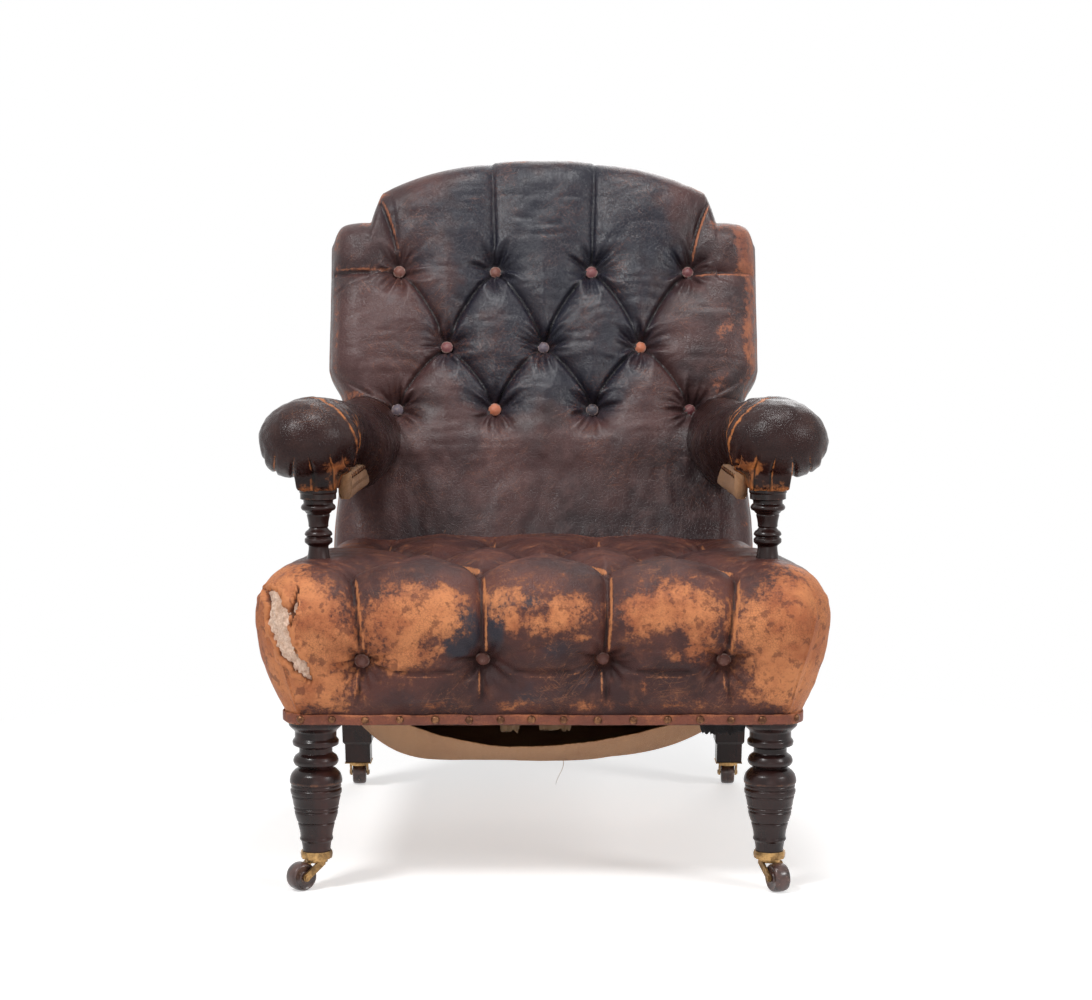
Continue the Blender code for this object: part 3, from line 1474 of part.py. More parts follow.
def buildBottomCloth(root, mats):
    top = RAIL_BOTTOM - 1.5 * WEB_THICK - 3 * TOUCH
    front = railFrontY() + BOTTOM_CLOTH_SETBACK
    rear = REAR_LEG_Y + CUT_PAST
    upper = []
    lower = []
    for y in spread(front, rear, 10):
        line = []
        for x in spread(-BOTTOM_CLOTH_HALF, BOTTOM_CLOTH_HALF, 10):
            line.append(Vector((x, y, top - bottomSag(x, y, front, rear))))
        upper.append(line)
        lower.append([point - Vector((0, 0, CLOTH_THICK)) for point in line])
    bm = bmesh.new()
    addSheet(bm, upper, lower)
    addObject("bottom_cloth", bm, mats["hessian"], root, smooth=True)


def hemLine(offset):
    """Points along the hem, a little outside it: left side, front, right side."""
    halfFront = seatCore()[0]
    front = seatCore()[2]
    last = rearLegFrontY() - BAND_END_GAP
    shares = [k / HEM_STEPS for k in range(1, HEM_STEPS)]
    points = [seatPoint(-halfAlong(v) - WALL, v) for v in spread(last, front, HEM_STEPS)]
    points += [seatPoint(-halfFront - WALL, front - WALL * share) for share in shares]
    points += [seatPoint(-halfFront - WALL * share, front - WALL) for share in reversed([0.0] + shares)]
    line = points + [Vector((-point.x, point.y, point.z)) for point in reversed(points)]
    result = []
    for i, point in enumerate(line):
        ahead = line[min(i + 1, len(line) - 1)] - line[max(i - 1, 0)]
        out = Vector((ahead.y, -ahead.x, 0)).normalized()
        result.append(point + out * offset)
    return result


def buildBanding(root, mats):
    """The leather strip round the foot of the seat, and its row of nails."""
    low = RAIL_BOTTOM + BAND_RISE
    high = low + BAND_HEIGHT
    rings = []
    for near, far in zip(hemLine(BAND_GAP), hemLine(BAND_GAP + BAND_THICK)):
        ring = [(near, low), (far, low), (far, high), (near, high)]
        rings.append([Vector((point.x, point.y, z)) for point, z in ring])
    bm = bmesh.new()
    addRings(bm, rings)
    banding = addObject("leather_banding", bm, mats["tan_leather"], root)

    path = hemLine(BAND_GAP + BAND_THICK / 2)
    bm = bmesh.new()
    walked = 0.0
    following = NAIL_PITCH / 2
    for start, end in zip(path, path[1:]):
        length = (end - start).length
        direct = (end - start) / length
        out = Vector((direct.y, -direct.x, 0)).normalized()
        while walked + length > following:
            place = start + direct * (following - walked)
            addNail(bm, Vector((place.x, place.y, (low + high) / 2)), out)
            following += NAIL_PITCH
        walked += length
    joinWith(banding, addObject("join_nails", bm, None, root))


def addNail(bm, place, out):
    """A domed nail head with a flat underside."""
    base = BAND_THICK / 2
    profile = [(NAIL_RADIUS, 0.0), (NAIL_RADIUS, base), (NAIL_RADIUS * 0.55, base + NAIL_HEIGHT)]
    addAimed(bm, profile, 6, place, out)


# Casters

def casterPlaces():
    return {
        "front_left": Vector((-FRONT_LEG_X, FRONT_LEG_Y, 0)),
        "front_right": Vector((FRONT_LEG_X, FRONT_LEG_Y, 0)),
        "rear_left": Vector((-REAR_LEG_X, REAR_FOOT_Y, 0)),
        "rear_right": Vector((REAR_LEG_X, REAR_FOOT_Y, 0)),
    }


def buildFrontCup(root, mats, name, place):
    """Brass ring driven onto the ankle of a turned leg."""
    inner = FRONT_LEG_ANKLE + TOUCH
    bm = bmesh.new()
    low = FOOT_HEIGHT - TOUCH - CUP_PLATE
    outer = inner + CUP_WALL
    belly = low + CUP_HEIGHT * 0.6
    addTurned(bm, [(outer, low), (outer + CUP_BELLY, belly), (outer, low + CUP_HEIGHT)])
    cup = addObject("caster_cup_" + name, bm, mats["brass"], root, smooth=True)
    cup.location = place
    bm = bmesh.new()
    addTurned(bm, [(inner, FOOT_HEIGHT - TOUCH), (inner, FOOT_HEIGHT + CUP_HEIGHT + CUT_PAST)])
    room = addObject("cut_cup_" + name, bm, None, root)
    room.location = place
    cutWith(cup, room)
    drillCup(root, name, cup)


def drillCup(root, name, cup):
    bm = bmesh.new()
    radius = STEM_RADIUS + RUNNING_GAP
    addTurned(bm, [(radius, FOOT_HEIGHT - CUT_PAST), (radius, FOOT_HEIGHT + CUT_PAST)])
    hole = addObject("cut_cup_hole_" + name, bm, None, root)
    hole.location = cup.location
    cutWith(cup, hole)


def buildRearPlate(root, mats, name, place):
    """Square brass plate screwed under a rear foot."""
    half = REAR_FOOT_THICK / 2 + PLATE_LIP
    bm = bmesh.new()
    low = FOOT_HEIGHT - TOUCH - CUP_PLATE
    addBox(bm, (-half, -half, low), (half, half, FOOT_HEIGHT - TOUCH))
    plate = addObject("caster_cup_" + name, bm, mats["brass"], root)
    plate.location = place
    drillCup(root, name, plate)


def yokePlateTop():
    return FOOT_HEIGHT - TOUCH - CUP_PLATE - RUNNING_GAP


def boreAround(name, radius, parent):
    """A guide for the hole that a pin runs through, along the parent's own Z."""
    bm = bmesh.new()
    addTurned(bm, [(radius, -WHEEL_WIDTH), (radius, WHEEL_WIDTH)])
    return addObject(name, bm, None, parent)


def buildCaster(root, mats, name, place):
    swivel = addEmpty("swivel_" + name, root, place, (0, 0, CASTER_HEADINGS[name]))
    top = yokePlateTop()
    low = top - YOKE_PLATE_THICK
    bm = bmesh.new()
    addTurned(bm, [(YOKE_PLATE_RADIUS, low), (YOKE_PLATE_RADIUS, top), (STEM_RADIUS, top + SAME_POINT),
                   (STEM_RADIUS, FOOT_HEIGHT + STEM_LENGTH)], 16)
    yoke = addObject("caster_yoke_" + name, bm, mats["brass"], swivel, smooth=True)
    bm = bmesh.new()
    reach = WHEEL_WIDTH / 2 + CHEEK_GAP
    for side in (-1, 1):
        inner, outer = side * reach, side * (reach + CHEEK_THICK)
        addPrism(bm, cheekOutline(low), inner, outer, lambda a, b, c: Vector((a, c, b)))
    joinWith(yoke, addObject("join_cheeks_" + name, bm, None, swivel))

    axle = addEmpty("axle_" + name, swivel, (CASTER_TRAIL, 0, WHEEL_RADIUS), (math.radians(90), 0, 0))
    cutWith(yoke, boreAround("cut_axle_" + name, AXLE_RADIUS + TOUCH, axle))
    bm = bmesh.new()
    end = reach + CHEEK_THICK + TOUCH
    head = AXLE_RADIUS * 1.5
    half = [(AXLE_RADIUS, end - SAME_POINT), (head, end), (head, end + AXLE_HEAD_THICK)]
    addTurned(bm, [(radius, -z) for radius, z in reversed(half)] + half, 8)
    addObject("caster_axle_" + name, bm, mats["brass"], axle, smooth=True)

    bm = bmesh.new()
    width = WHEEL_WIDTH / 2
    face = WHEEL_RADIUS * 0.78
    tread = WHEEL_RADIUS - WHEEL_CROWN
    half = [(WHEEL_RADIUS, width * 0.35), (tread, width * 0.82), (face, width)]
    addTurned(bm, [(radius, -z) for radius, z in reversed(half)] + half, 16)
    wheel = addObject("caster_wheel_" + name, bm, mats["wheel_brown"], axle, smooth=True)
    cutWith(wheel, boreAround("cut_wheel_bore_" + name, AXLE_RADIUS + RUNNING_GAP, axle))


def cheekOutline(plateLow):
    """Side view of one cheek: from under the plate out to a round eye at the axle."""
    eye = AXLE_RADIUS * 2.2
    rear = -YOKE_PLATE_RADIUS * 0.30
    root = YOKE_PLATE_THICK / 4
    points = [(rear, plateLow + root), (rear, plateLow - 2 * root)]
    for k in range(8):
        angle = math.radians(200 + k * 230 / 7)
        points.append((CASTER_TRAIL + eye * math.cos(angle), WHEEL_RADIUS + eye * math.sin(angle)))
    points.append((YOKE_PLATE_RADIUS * 0.55, plateLow + root))
    return points


def centreOnOrigin(root):
    """Shift the whole chair so that its floor outline is centred on the world's origin."""
    bpy.context.view_layer.update()
    low = Vector((math.inf, math.inf, math.inf))
    high = -low
    for item in bpy.data.objects:
        if item.type != "MESH" or item.hide_render:
            continue
        for vert in item.data.vertices:
            point = item.matrix_world @ vert.co
            low = Vector(map(min, low, point))
            high = Vector(map(max, high, point))
    root.location = (-(low.x + high.x) / 2, -(low.y + high.y) / 2, 0)


def main():
    clearScene()
    mats = makeMaterials()
    root = addEmpty("chair", None)
    buildSeatRails(root, mats)
    buildCornerBlocks(root, mats)
    buildBackRails(root, mats)
    for side, name in ((-1, "left"), (1, "right")):
        buildFrontLeg(root, mats, side, "front_leg_" + name)
        buildRearLeg(root, mats, side, "rear_leg_" + name)
        buildArmFrame(root, mats, side, name)
        buildArmPad(root, mats, side, name)
    buildSeat(root, mats)
    buildBack(root, mats)
    buildWebbing(root, mats)
    buildSprings(root, mats)
    buildBottomCloth(root, mats)
    buildBanding(root, mats)
    for name, place in casterPlaces().items():
        if name.startswith("front"):
            buildFrontCup(root, mats, name, place)
        else:
            buildRearPlate(root, mats, name, place)
        buildCaster(root, mats, name, place)
    centreOnOrigin(root)


main()
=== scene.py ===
import math

import bmesh
import bpy
import numpy as np
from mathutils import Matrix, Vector


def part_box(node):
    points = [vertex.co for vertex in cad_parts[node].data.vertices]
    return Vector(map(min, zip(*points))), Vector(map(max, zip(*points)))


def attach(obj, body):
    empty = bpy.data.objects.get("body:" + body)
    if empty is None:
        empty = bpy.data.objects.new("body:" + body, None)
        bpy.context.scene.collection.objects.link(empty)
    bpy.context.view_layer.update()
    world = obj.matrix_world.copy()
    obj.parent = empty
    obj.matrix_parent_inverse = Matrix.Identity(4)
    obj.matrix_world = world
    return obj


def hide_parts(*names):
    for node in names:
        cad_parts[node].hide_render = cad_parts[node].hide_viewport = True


# Worn buttoned armchair. Everything is written in the chair's working frame, whose zero
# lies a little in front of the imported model's origin, and is shifted when a mesh is made.
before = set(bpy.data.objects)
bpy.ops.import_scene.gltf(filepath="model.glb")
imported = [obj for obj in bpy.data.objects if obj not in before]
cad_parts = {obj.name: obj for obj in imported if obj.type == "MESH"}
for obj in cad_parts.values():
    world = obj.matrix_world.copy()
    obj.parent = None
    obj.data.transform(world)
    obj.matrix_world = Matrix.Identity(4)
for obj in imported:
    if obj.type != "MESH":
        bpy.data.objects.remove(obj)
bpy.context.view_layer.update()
chair = "chair_frame"
blockLow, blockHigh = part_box("front_leg_left")
shiftY = (blockLow[1] + blockHigh[1]) / 2 + 0.300
corners = {
    "front_left": (-0.2735, -0.300, math.radians(218)),
    "front_right": (0.2735, -0.300, math.radians(-67.5)),
    "rear_left": (-0.2685, 0.303, math.radians(92)),
    "rear_right": (0.2685, 0.303, math.radians(88)),
}
sides = ((-1, "left"), (1, "right"))

cameraView = {"place": (0.0036, -3.20, 0.7200), "tiltDown": 4.921, "focalPixels": 2439, "imageWidth": 1092}


# Small sums

def mix(a, b, share):
    return a + (b - a) * share


def ease(share):
    share = np.clip(share, 0.0, 1.0)
    return share * share * (3 - 2 * share)


def roundOver(share):
    return np.sqrt(1 - (1 - np.clip(share, 0.0, 1.0)) ** 2)


def bell(value, width):
    return np.exp(-(value / width) ** 2)


def cornerValue(i, j, k, seed):
    n = (i * 374761393 + j * 668265263 + k * 1274126177 + seed * 69069) & 0xFFFFFFFF
    n = ((n ^ (n >> 13)) * 1274126177) & 0xFFFFFFFF
    n = n ^ (n >> 16)
    return n / 0x7FFFFFFF - 1.0


def noise(points, scale, seed=0):
    # Smooth value noise from -1 to 1 at rows of points.
    scaled = points * scale + 100.0
    cell = np.floor(scaled).astype(np.int64)
    f = scaled - cell
    f = f * f * (3 - 2 * f)
    total = 0.0
    for a in (0, 1):
        for b in (0, 1):
            for c in (0, 1):
                weight = (f[..., 0] if a else 1 - f[..., 0]) * (f[..., 1] if b else 1 - f[..., 1])
                weight = weight * (f[..., 2] if c else 1 - f[..., 2])
                corner = cell + (a, b, c)
                total = total + weight * cornerValue(corner[..., 0], corner[..., 1], corner[..., 2], seed)
    return total


def fractal(points, scale, octaves=3, seed=0):
    total = 0.0
    size = 1.0
    for k in range(octaves):
        total = total + size * noise(points, scale * 2 ** k, seed + 11 * k)
        size *= 0.5
    return total / 1.75


def stack(*parts):
    return np.stack(np.broadcast_arrays(*[np.asarray(part, dtype=float) for part in parts]), axis=-1)


# Mesh helpers

def makeMesh(name, verts, faces, material, attributes=None, uvs=None, sharp=None):
    mesh = bpy.data.meshes.new(name)
    points = np.asarray(verts, dtype=float).reshape(-1, 3) + (0.0, shiftY, 0.0)
    mesh.from_pydata(points.tolist(), [], faces)
    mesh.update()
    for key, values in (attributes or {}).items():
        data = mesh.attributes.new(key, "FLOAT", "POINT")
        data.data.foreach_set("value", np.asarray(values, dtype=np.float32).ravel())
    if uvs is not None:
        layer = mesh.uv_layers.new(name="cut")
        corner = np.zeros(len(mesh.loops), dtype=np.int64)
        mesh.loops.foreach_get("vertex_index", corner)
        layer.data.foreach_set("uv", np.asarray(uvs, dtype=np.float32).reshape(-1, 2)[corner].ravel())
    mesh.shade_smooth()
    if sharp:
        mesh.set_sharp_from_angle(angle=math.radians(sharp))
    item = bpy.data.objects.new(name, mesh)
    bpy.context.scene.collection.objects.link(item)
    mesh.materials.append(material)
    return item


def gridFaces(rows, columns, wrap=False, start=0, flip=False):
    # Quads between the rows of a grid; a wrapped grid closes on itself across its columns.
    i, j = np.meshgrid(np.arange(rows - 1), np.arange(columns if wrap else columns - 1), indexing="ij")
    near, far, ahead = i * columns + start, (i + 1) * columns + start, (j + 1) % columns
    quads = np.stack([near + j, near + ahead, far + ahead, far + j], axis=-1).reshape(-1, 4)
    return (quads[:, ::-1] if flip else quads).tolist()


def tubeFaces(rows, columns):
    # Quads round a closed tube, with one face over each end.
    last = (rows - 1) * columns
    ends = [list(range(columns))[::-1], list(range(last, last + columns))]
    return gridFaces(rows, columns, wrap=True) + ends


def ringFaces(near, far):
    # Quads between two rings of as many points.
    return [list(quad) for quad in zip(near, near[1:] + near[:1], far[1:] + far[:1], far)]


def rimOf(rows, columns):
    # Grid indices that walk once round the rim.
    rim = [(0, j) for j in range(columns - 1)]
    rim += [(i, columns - 1) for i in range(rows - 1)]
    rim += [(rows - 1, j) for j in range(columns - 1, 0, -1)]
    rim += [(i, 0) for i in range(rows - 1, 0, -1)]
    return rim


def doubled(face, under):
    # Closed sheet from the grids of its two sides.
    rows, columns = face.shape[:2]
    count = rows * columns
    faces = gridFaces(rows, columns) + gridFaces(rows, columns, start=count, flip=True)
    rim = [i * columns + j for i, j in rimOf(rows, columns)]
    faces += ringFaces(rim, [index + count for index in rim])
    return np.concatenate([face.reshape(-1, 3), under.reshape(-1, 3)]), faces


def flatSize(face):
    # Longest width and length over the folds of a sheet's grid, and its area.
    along, down = np.diff(face, axis=1), np.diff(face, axis=0)
    width = np.linalg.norm(along, axis=2).sum(axis=1).max()
    length = np.linalg.norm(down, axis=2).sum(axis=0).max()
    area = np.linalg.norm(np.cross(along[:-1], down[:, :-1]), axis=2).sum()
    return float(width), float(length), float(area)


def tidyNormals(item):
    bm = bmesh.new()
    bm.from_mesh(item.data)
    bmesh.ops.recalc_face_normals(bm, faces=bm.faces[:])
    bm.to_mesh(item.data)
    bm.free()
    return item


def place(item, body, slotName, *nodes):
    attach(item, body)
    if nodes:
        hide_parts(*nodes)
    return item


def addPiece(name, verts, faces, material, body, slotName, *nodes, **options):
    return place(tidyNormals(makeMesh(name, verts, faces, material, **options)), body, slotName, *nodes)


# Material helpers

class Nodes:
    # Short way to write a node tree: each call makes one node and returns its output.

    def __init__(self, name, owner=None):
        self.owner = owner or bpy.data.materials.new(name)
        self.owner.use_nodes = True
        self.tree = self.owner.node_tree

    def make(self, kind, output=0, values=None, **settings):
        node = self.tree.nodes.new(kind)
        for key, value in settings.items():
            setattr(node, key, value)
        for key, value in (values or {}).items():
            if isinstance(value, bpy.types.NodeSocket):
                self.tree.links.new(value, node.inputs[key])
            else:
                node.inputs[key].default_value = value
        return node.outputs[output]

    def where(self, scale=(1, 1, 1), turn=(0, 0, 0)):
        spot = self.make("ShaderNodeTexCoord", "Object")
        if scale == (1, 1, 1) and turn == (0, 0, 0):
            return spot
        turned = self.make("ShaderNodeMapping", 0, {"Vector": spot, "Rotation": turn})
        return self.make("ShaderNodeMapping", 0, {"Vector": turned, "Scale": scale})

    def noise(self, scale, detail=3.0, rough=0.55, where=None, bend=0.0):
        spot = where or self.where()
        values = {"Vector": spot, "Scale": scale, "Detail": detail, "Roughness": rough, "Distortion": bend}
        return self.make("ShaderNodeTexNoise", "Fac", values)

    def cells(self, scale, where=None, feature="F1"):
        values = {"Vector": where or self.where(), "Scale": scale}
        return self.make("ShaderNodeTexVoronoi", "Distance", values, feature=feature)

    def bent(self, spot, scale, amount):
        # The place pushed about by a noise, so that what is drawn on it doesn't run straight.
        shift = self.make("ShaderNodeTexNoise", "Color", {"Vector": spot, "Scale": scale, "Detail": 2.0})
        shift = self.make("ShaderNodeVectorMath", 0, {0: shift, 1: amount}, operation="MULTIPLY")
        return self.make("ShaderNodeVectorMath", 0, {0: spot, 1: shift}, operation="ADD")

    def attribute(self, name):
        return self.make("ShaderNodeAttribute", "Fac", attribute_name=name)

    def maths(self, operation, a, b=0.0):
        return self.make("ShaderNodeMath", 0, {0: a, 1: b}, operation=operation)

    def add(self, a, b):
        return self.maths("ADD", a, b)

    def times(self, a, b):
        return self.maths("MULTIPLY", a, b)

    def span(self, value, low, high, toLow=0.0, toHigh=1.0):
        values = {"Value": value, "From Min": low, "From Max": high, "To Min": toLow, "To Max": toHigh}
        return self.make("ShaderNodeMapRange", 0, values, interpolation_type="SMOOTHSTEP")

    def blend(self, share, a, b):
        values = {0: share}
        for key, colour in ((6, a), (7, b)):
            values[key] = (*colour, 1.0) if isinstance(colour, tuple) else colour
        return self.make("ShaderNodeMix", 2, values, data_type="RGBA")

    def bump(self, height, distance, strength=1.0):
        return self.make("ShaderNodeBump", 0, {"Height": height, "Distance": distance, "Strength": strength})

    def seen(self):
        # 1 for rays from the camera, off a shiny surface or through a clear one, else 0.
        kinds = self.make("ShaderNodeLightPath").node.outputs
        shiny = self.maths("MAXIMUM", kinds["Is Camera Ray"], kinds["Is Glossy Ray"])
        return self.maths("MAXIMUM", shiny, kinds["Is Transmission Ray"])

    def finish(self, colour, rough, normal, **constants):
        inputs = self.tree.nodes["Principled BSDF"].inputs
        self.tree.links.new(colour, inputs["Base Color"])
        self.tree.links.new(normal, inputs["Normal"])
        if isinstance(rough, bpy.types.NodeSocket):
            self.tree.links.new(rough, inputs["Roughness"])
        else:
            inputs["Roughness"].default_value = rough
        for key, value in constants.items():
            inputs[key.replace("_", " ")].default_value = value
        return self.owner


def paint(red, green, blue):
    # A colour as the eye reads it on a screen, 0 to 255, turned to the linear one that shaders take.
    linear = []
    for value in (red, green, blue):
        value /= 255
        linear.append(value / 12.92 if value <= 0.04045 else ((value + 0.055) / 1.055) ** 2.4)
    return tuple(linear)


def leather(name, look):
    # Old upholstery leather: grain, creases, a dark finish rubbed through to tan along folds and patches, painted shade
    # in creases, hollows and tucks, and grey painted sheen in patches.
    n = Nodes(name)
    broad = n.noise(look["mottle"], 4.0, 0.6)
    fine = n.noise(46, 5.0, 0.65)
    speck = n.noise(170, 4.0, 0.75)
    dots = n.noise(74, 3.0, 0.6)
    crackFine = n.cells(look["crackScale"], n.bent(n.where(), 18.0, (0.02, 0.02, 0.02)), "DISTANCE_TO_EDGE")
    grain = n.cells(820)
    lineMask = None
    for turn, scale in (((0.3, 0.9, 0.4), 15), ((-0.4, -0.7, 0.9), 19), ((0.1, 0.15, 0.3), 17)):
        scratch = n.noise(scale, 3.0, 0.5, n.where((1.0, 1.0, 9.0), turn), 0.5)
        line = n.span(n.maths("ABSOLUTE", n.add(scratch, -0.5)), 0.0, 0.010, 1.0, 0.0)
        line = n.times(line, n.span(n.noise(11 + scale / 8, 2.0), 0.50, 0.62))
        lineMask = line if lineMask is None else n.maths("MAXIMUM", lineMask, line)

    body = n.blend(n.span(broad, 0.36, 0.64), look["deep"], look["mid"])
    # Painted sheen: grey patches blended over the body colour where a fine noise is high.
    body = n.blend(n.times(n.span(fine, 0.48, 0.75), look["paintedSheenShare"]), body, look["paintedSheen"])
    blackSum = n.add(n.attribute("black"), n.times(n.add(broad, -0.5), 1.0))
    blackMask = n.span(n.add(blackSum, n.times(n.add(fine, -0.5), 0.8)), 0.30, 0.70)
    body = n.blend(n.times(blackMask, 0.92), body, look["black"])
    rubbed = n.add(n.attribute("worn"), n.times(n.add(fine, -0.5), look["ragged"]))
    rubbed = n.add(rubbed, n.times(n.add(speck, -0.5), look["ragged"] * 1.1))
    rubbed = n.add(rubbed, n.times(n.add(broad, -0.5), look["ragged"] * 0.7))
    wornMask = n.add(n.times(n.span(rubbed, 0.20, 0.82), look["softWear"]),
                     n.times(n.span(rubbed, 0.42, 0.58), 1 - look["softWear"]))
    tanShare = n.span(n.add(n.times(broad, 0.6), n.times(fine, 0.4)), 0.38, 0.62)
    tan = n.blend(tanShare, look["wornDeep"], look["worn"])
    tan = n.blend(n.times(n.span(speck, 0.50, 0.70), 0.45), tan, look["wornDark"])
    tan = n.blend(n.times(n.span(dots, 0.56, 0.64), 0.62), tan, look["wornDark"])
    tan = n.blend(n.times(n.span(rubbed, 0.42, 0.85, 1.0, 0.0), 0.55), tan, look["wornDark"])
    colour = n.blend(wornMask, body, tan)
    crackMask = n.span(crackFine, 0.0, 0.09, 1.0, 0.0)
    colour = n.blend(n.times(n.times(crackMask, n.span(n.noise(14, 2.0), 0.42, 0.6)), look["crackShare"]),
                     colour, look["crack"])
    edgeMask = n.span(n.add(n.attribute("edge"), n.times(n.add(speck, -0.5), 0.9)), 0.40, 0.72)
    colour = n.blend(n.times(edgeMask, look["edgeShare"]), colour, look["worn"])
    colour = n.blend(n.times(lineMask, look["scratchShare"]), colour, look["worn"])
    # Painted shade: the dark crease colour is laid where the mesh marks creases, pleat hollows, button dimples and
    # tucks.
    creaseShadeMask = n.span(n.attribute("creaseShade"), 0.20, 0.95)
    colour = n.blend(n.times(creaseShadeMask, look["creaseShadeShare"]), colour, look["creaseShade"])

    height = n.add(n.times(grain, 0.45), n.times(n.span(crackFine, 0.0, 0.10), 0.35))
    height = n.add(height, n.times(fine, 1.5))
    height = n.add(height, n.times(wornMask, -0.5))
    normal = n.bump(height, look["relief"], 0.9)
    rough = n.add(n.span(fine, 0.3, 0.7, look["gloss"] - 0.06, look["gloss"] + 0.09), n.times(wornMask, 0.16))
    rough = n.add(rough, n.times(blackMask, -0.07))
    return n.finish(colour, rough, normal, Specular_IOR_Level=look["shine"], Coat_Weight=look["coat"],
                    Coat_Roughness=0.25)


# In each look the dark crease colour is painted shade.
# In each look the grey patch colour is painted sheen.
leatherLooks = {
    "back": {"mottle": 7.0, "crackScale": 190, "softWear": 0.25, "deep": paint(43, 28, 30),
             "mid": paint(73, 47, 46), "paintedSheen": paint(102, 76, 74), "paintedSheenShare": 0.36,
             "black": paint(26, 29, 40), "worn": paint(178, 112, 80), "wornDeep": paint(122, 72, 58),
             "wornDark": paint(84, 52, 48), "ragged": 1.0, "edgeShare": 0.75, "scratchShare": 0.20,
             "crack": paint(116, 82, 70), "crackShare": 0.14, "creaseShade": paint(14, 11, 13),
             "creaseShadeShare": 0.85, "relief": 0.00055, "gloss": 0.33, "shine": 0.28, "coat": 0.05},
    "seat": {"mottle": 10.0, "crackScale": 300, "softWear": 0.66, "deep": paint(56, 31, 30),
             "mid": paint(90, 52, 45), "paintedSheen": paint(122, 78, 62), "paintedSheenShare": 0.45,
             "black": paint(38, 38, 48), "worn": paint(204, 132, 86), "wornDeep": paint(168, 96, 60),
             "wornDark": paint(98, 54, 42), "ragged": 1.35, "edgeShare": 0.80, "scratchShare": 0.26,
             "crack": paint(52, 30, 27), "crackShare": 0.40, "creaseShade": paint(38, 20, 19),
             "creaseShadeShare": 0.80, "relief": 0.0007, "gloss": 0.42, "shine": 0.26, "coat": 0.0},
    "arm": {"mottle": 9.0, "crackScale": 220, "softWear": 0.14, "deep": paint(28, 13, 14),
            "mid": paint(46, 24, 22), "paintedSheen": paint(78, 50, 40), "paintedSheenShare": 0.22,
            "black": paint(21, 18, 21), "worn": paint(196, 122, 70), "wornDeep": paint(138, 80, 50),
            "wornDark": paint(80, 48, 38), "ragged": 1.0, "edgeShare": 0.90, "scratchShare": 0.14,
            "crack": paint(46, 32, 30), "crackShare": 0.24, "creaseShade": paint(14, 9, 8), "creaseShadeShare": 0.9,
            "relief": 0.0004, "gloss": 0.27, "shine": 0.20, "coat": 0.04},
    "strip": {"mottle": 14.0, "crackScale": 220, "softWear": 0.5, "deep": paint(104, 56, 42),
              "mid": paint(128, 70, 52), "paintedSheen": paint(150, 92, 70), "paintedSheenShare": 0.4,
              "black": paint(50, 32, 30), "worn": paint(190, 116, 78), "wornDeep": paint(150, 84, 58),
              "wornDark": paint(90, 50, 40), "ragged": 0.8, "edgeShare": 0.5, "scratchShare": 0.3,
              "crack": paint(60, 34, 28), "crackShare": 0.3, "creaseShade": paint(50, 28, 24),
              "creaseShadeShare": 0.6, "relief": 0.0006, "gloss": 0.5, "shine": 0.35, "coat": 0.0},
}


def buttonLeather():
    n = Nodes("leatherOnButtons")
    tint = n.attribute("tint")
    ramp = n.make("ShaderNodeValToRGB", 0, {"Fac": tint})
    stops = ramp.node.color_ramp
    tints = ((0.0, paint(100, 56, 46)), (0.2, paint(112, 62, 64)), (0.4, paint(86, 76, 86)),
             (0.6, paint(176, 102, 72)), (0.8, paint(92, 42, 46)), (1.0, paint(54, 50, 58)))
    stops.interpolation = "CONSTANT"
    while len(stops.elements) < len(tints):
        stops.elements.new(0.5)
    for stop, (spot, colour) in zip(stops.elements, tints):
        stop.position = max(spot - 0.1, 0.0)
        stop.color = (*colour, 1.0)
    fine = n.noise(240, 4.0, 0.6)
    colour = n.blend(n.times(n.span(fine, 0.5, 0.75), 0.35), ramp, paint(176, 142, 124))
    rim = n.times(n.attribute("rim"), n.span(n.noise(300, 3.0), 0.35, 0.6))
    colour = n.blend(n.times(rim, 0.75), colour, paint(158, 136, 128))
    normal = n.bump(n.add(n.times(n.cells(900), 0.5), fine), 0.0005, 0.7)
    return n.finish(colour, n.span(fine, 0.3, 0.7, 0.38, 0.6), normal, Specular_IOR_Level=0.45)


def polishedWood():
    n = Nodes("mahoganyPolished")
    along = n.noise(26, 5.0, 0.6, n.where((1.0, 1.0, 0.10)), 0.6)
    pores = n.noise(420, 3.0, 0.6, n.where((1.0, 1.0, 0.06)))
    wear = n.span(n.add(n.attribute("worn"), n.times(n.add(n.noise(60, 4.0, 0.7), -0.5), 0.8)), 0.45, 0.75)
    colour = n.blend(n.span(along, 0.3, 0.7), paint(25, 12, 11), paint(55, 27, 23))
    colour = n.blend(n.times(n.span(pores, 0.55, 0.75), 0.35), colour, paint(24, 14, 13))
    colour = n.blend(n.times(wear, 0.8), colour, paint(128, 84, 62))
    dust = n.span(n.noise(12, 3.0), 0.55, 0.8)
    rough = n.add(n.span(along, 0.3, 0.7, 0.24, 0.38), n.add(n.times(wear, 0.25), n.times(dust, 0.15)))
    normal = n.bump(n.add(n.times(pores, 0.5), along), 0.0003, 0.5)
    return n.finish(colour, rough, normal, Specular_IOR_Level=0.30, Coat_Weight=0.06, Coat_Roughness=0.15)


def plainWood():
    n = Nodes("beechPlain")
    rings = n.noise(30, 4.0, 0.6, n.where((0.15, 1.0, 1.0)), 0.8)
    fleck = n.noise(300, 3.0, 0.6, n.where((0.10, 1.0, 1.0)))
    colour = n.blend(n.span(rings, 0.3, 0.7), paint(150, 112, 78), paint(186, 148, 108))
    colour = n.blend(n.times(n.span(fleck, 0.5, 0.75), 0.4), colour, paint(116, 80, 54))
    return n.finish(colour, n.span(fleck, 0.3, 0.7, 0.6, 0.8), n.bump(fleck, 0.0003, 0.6))


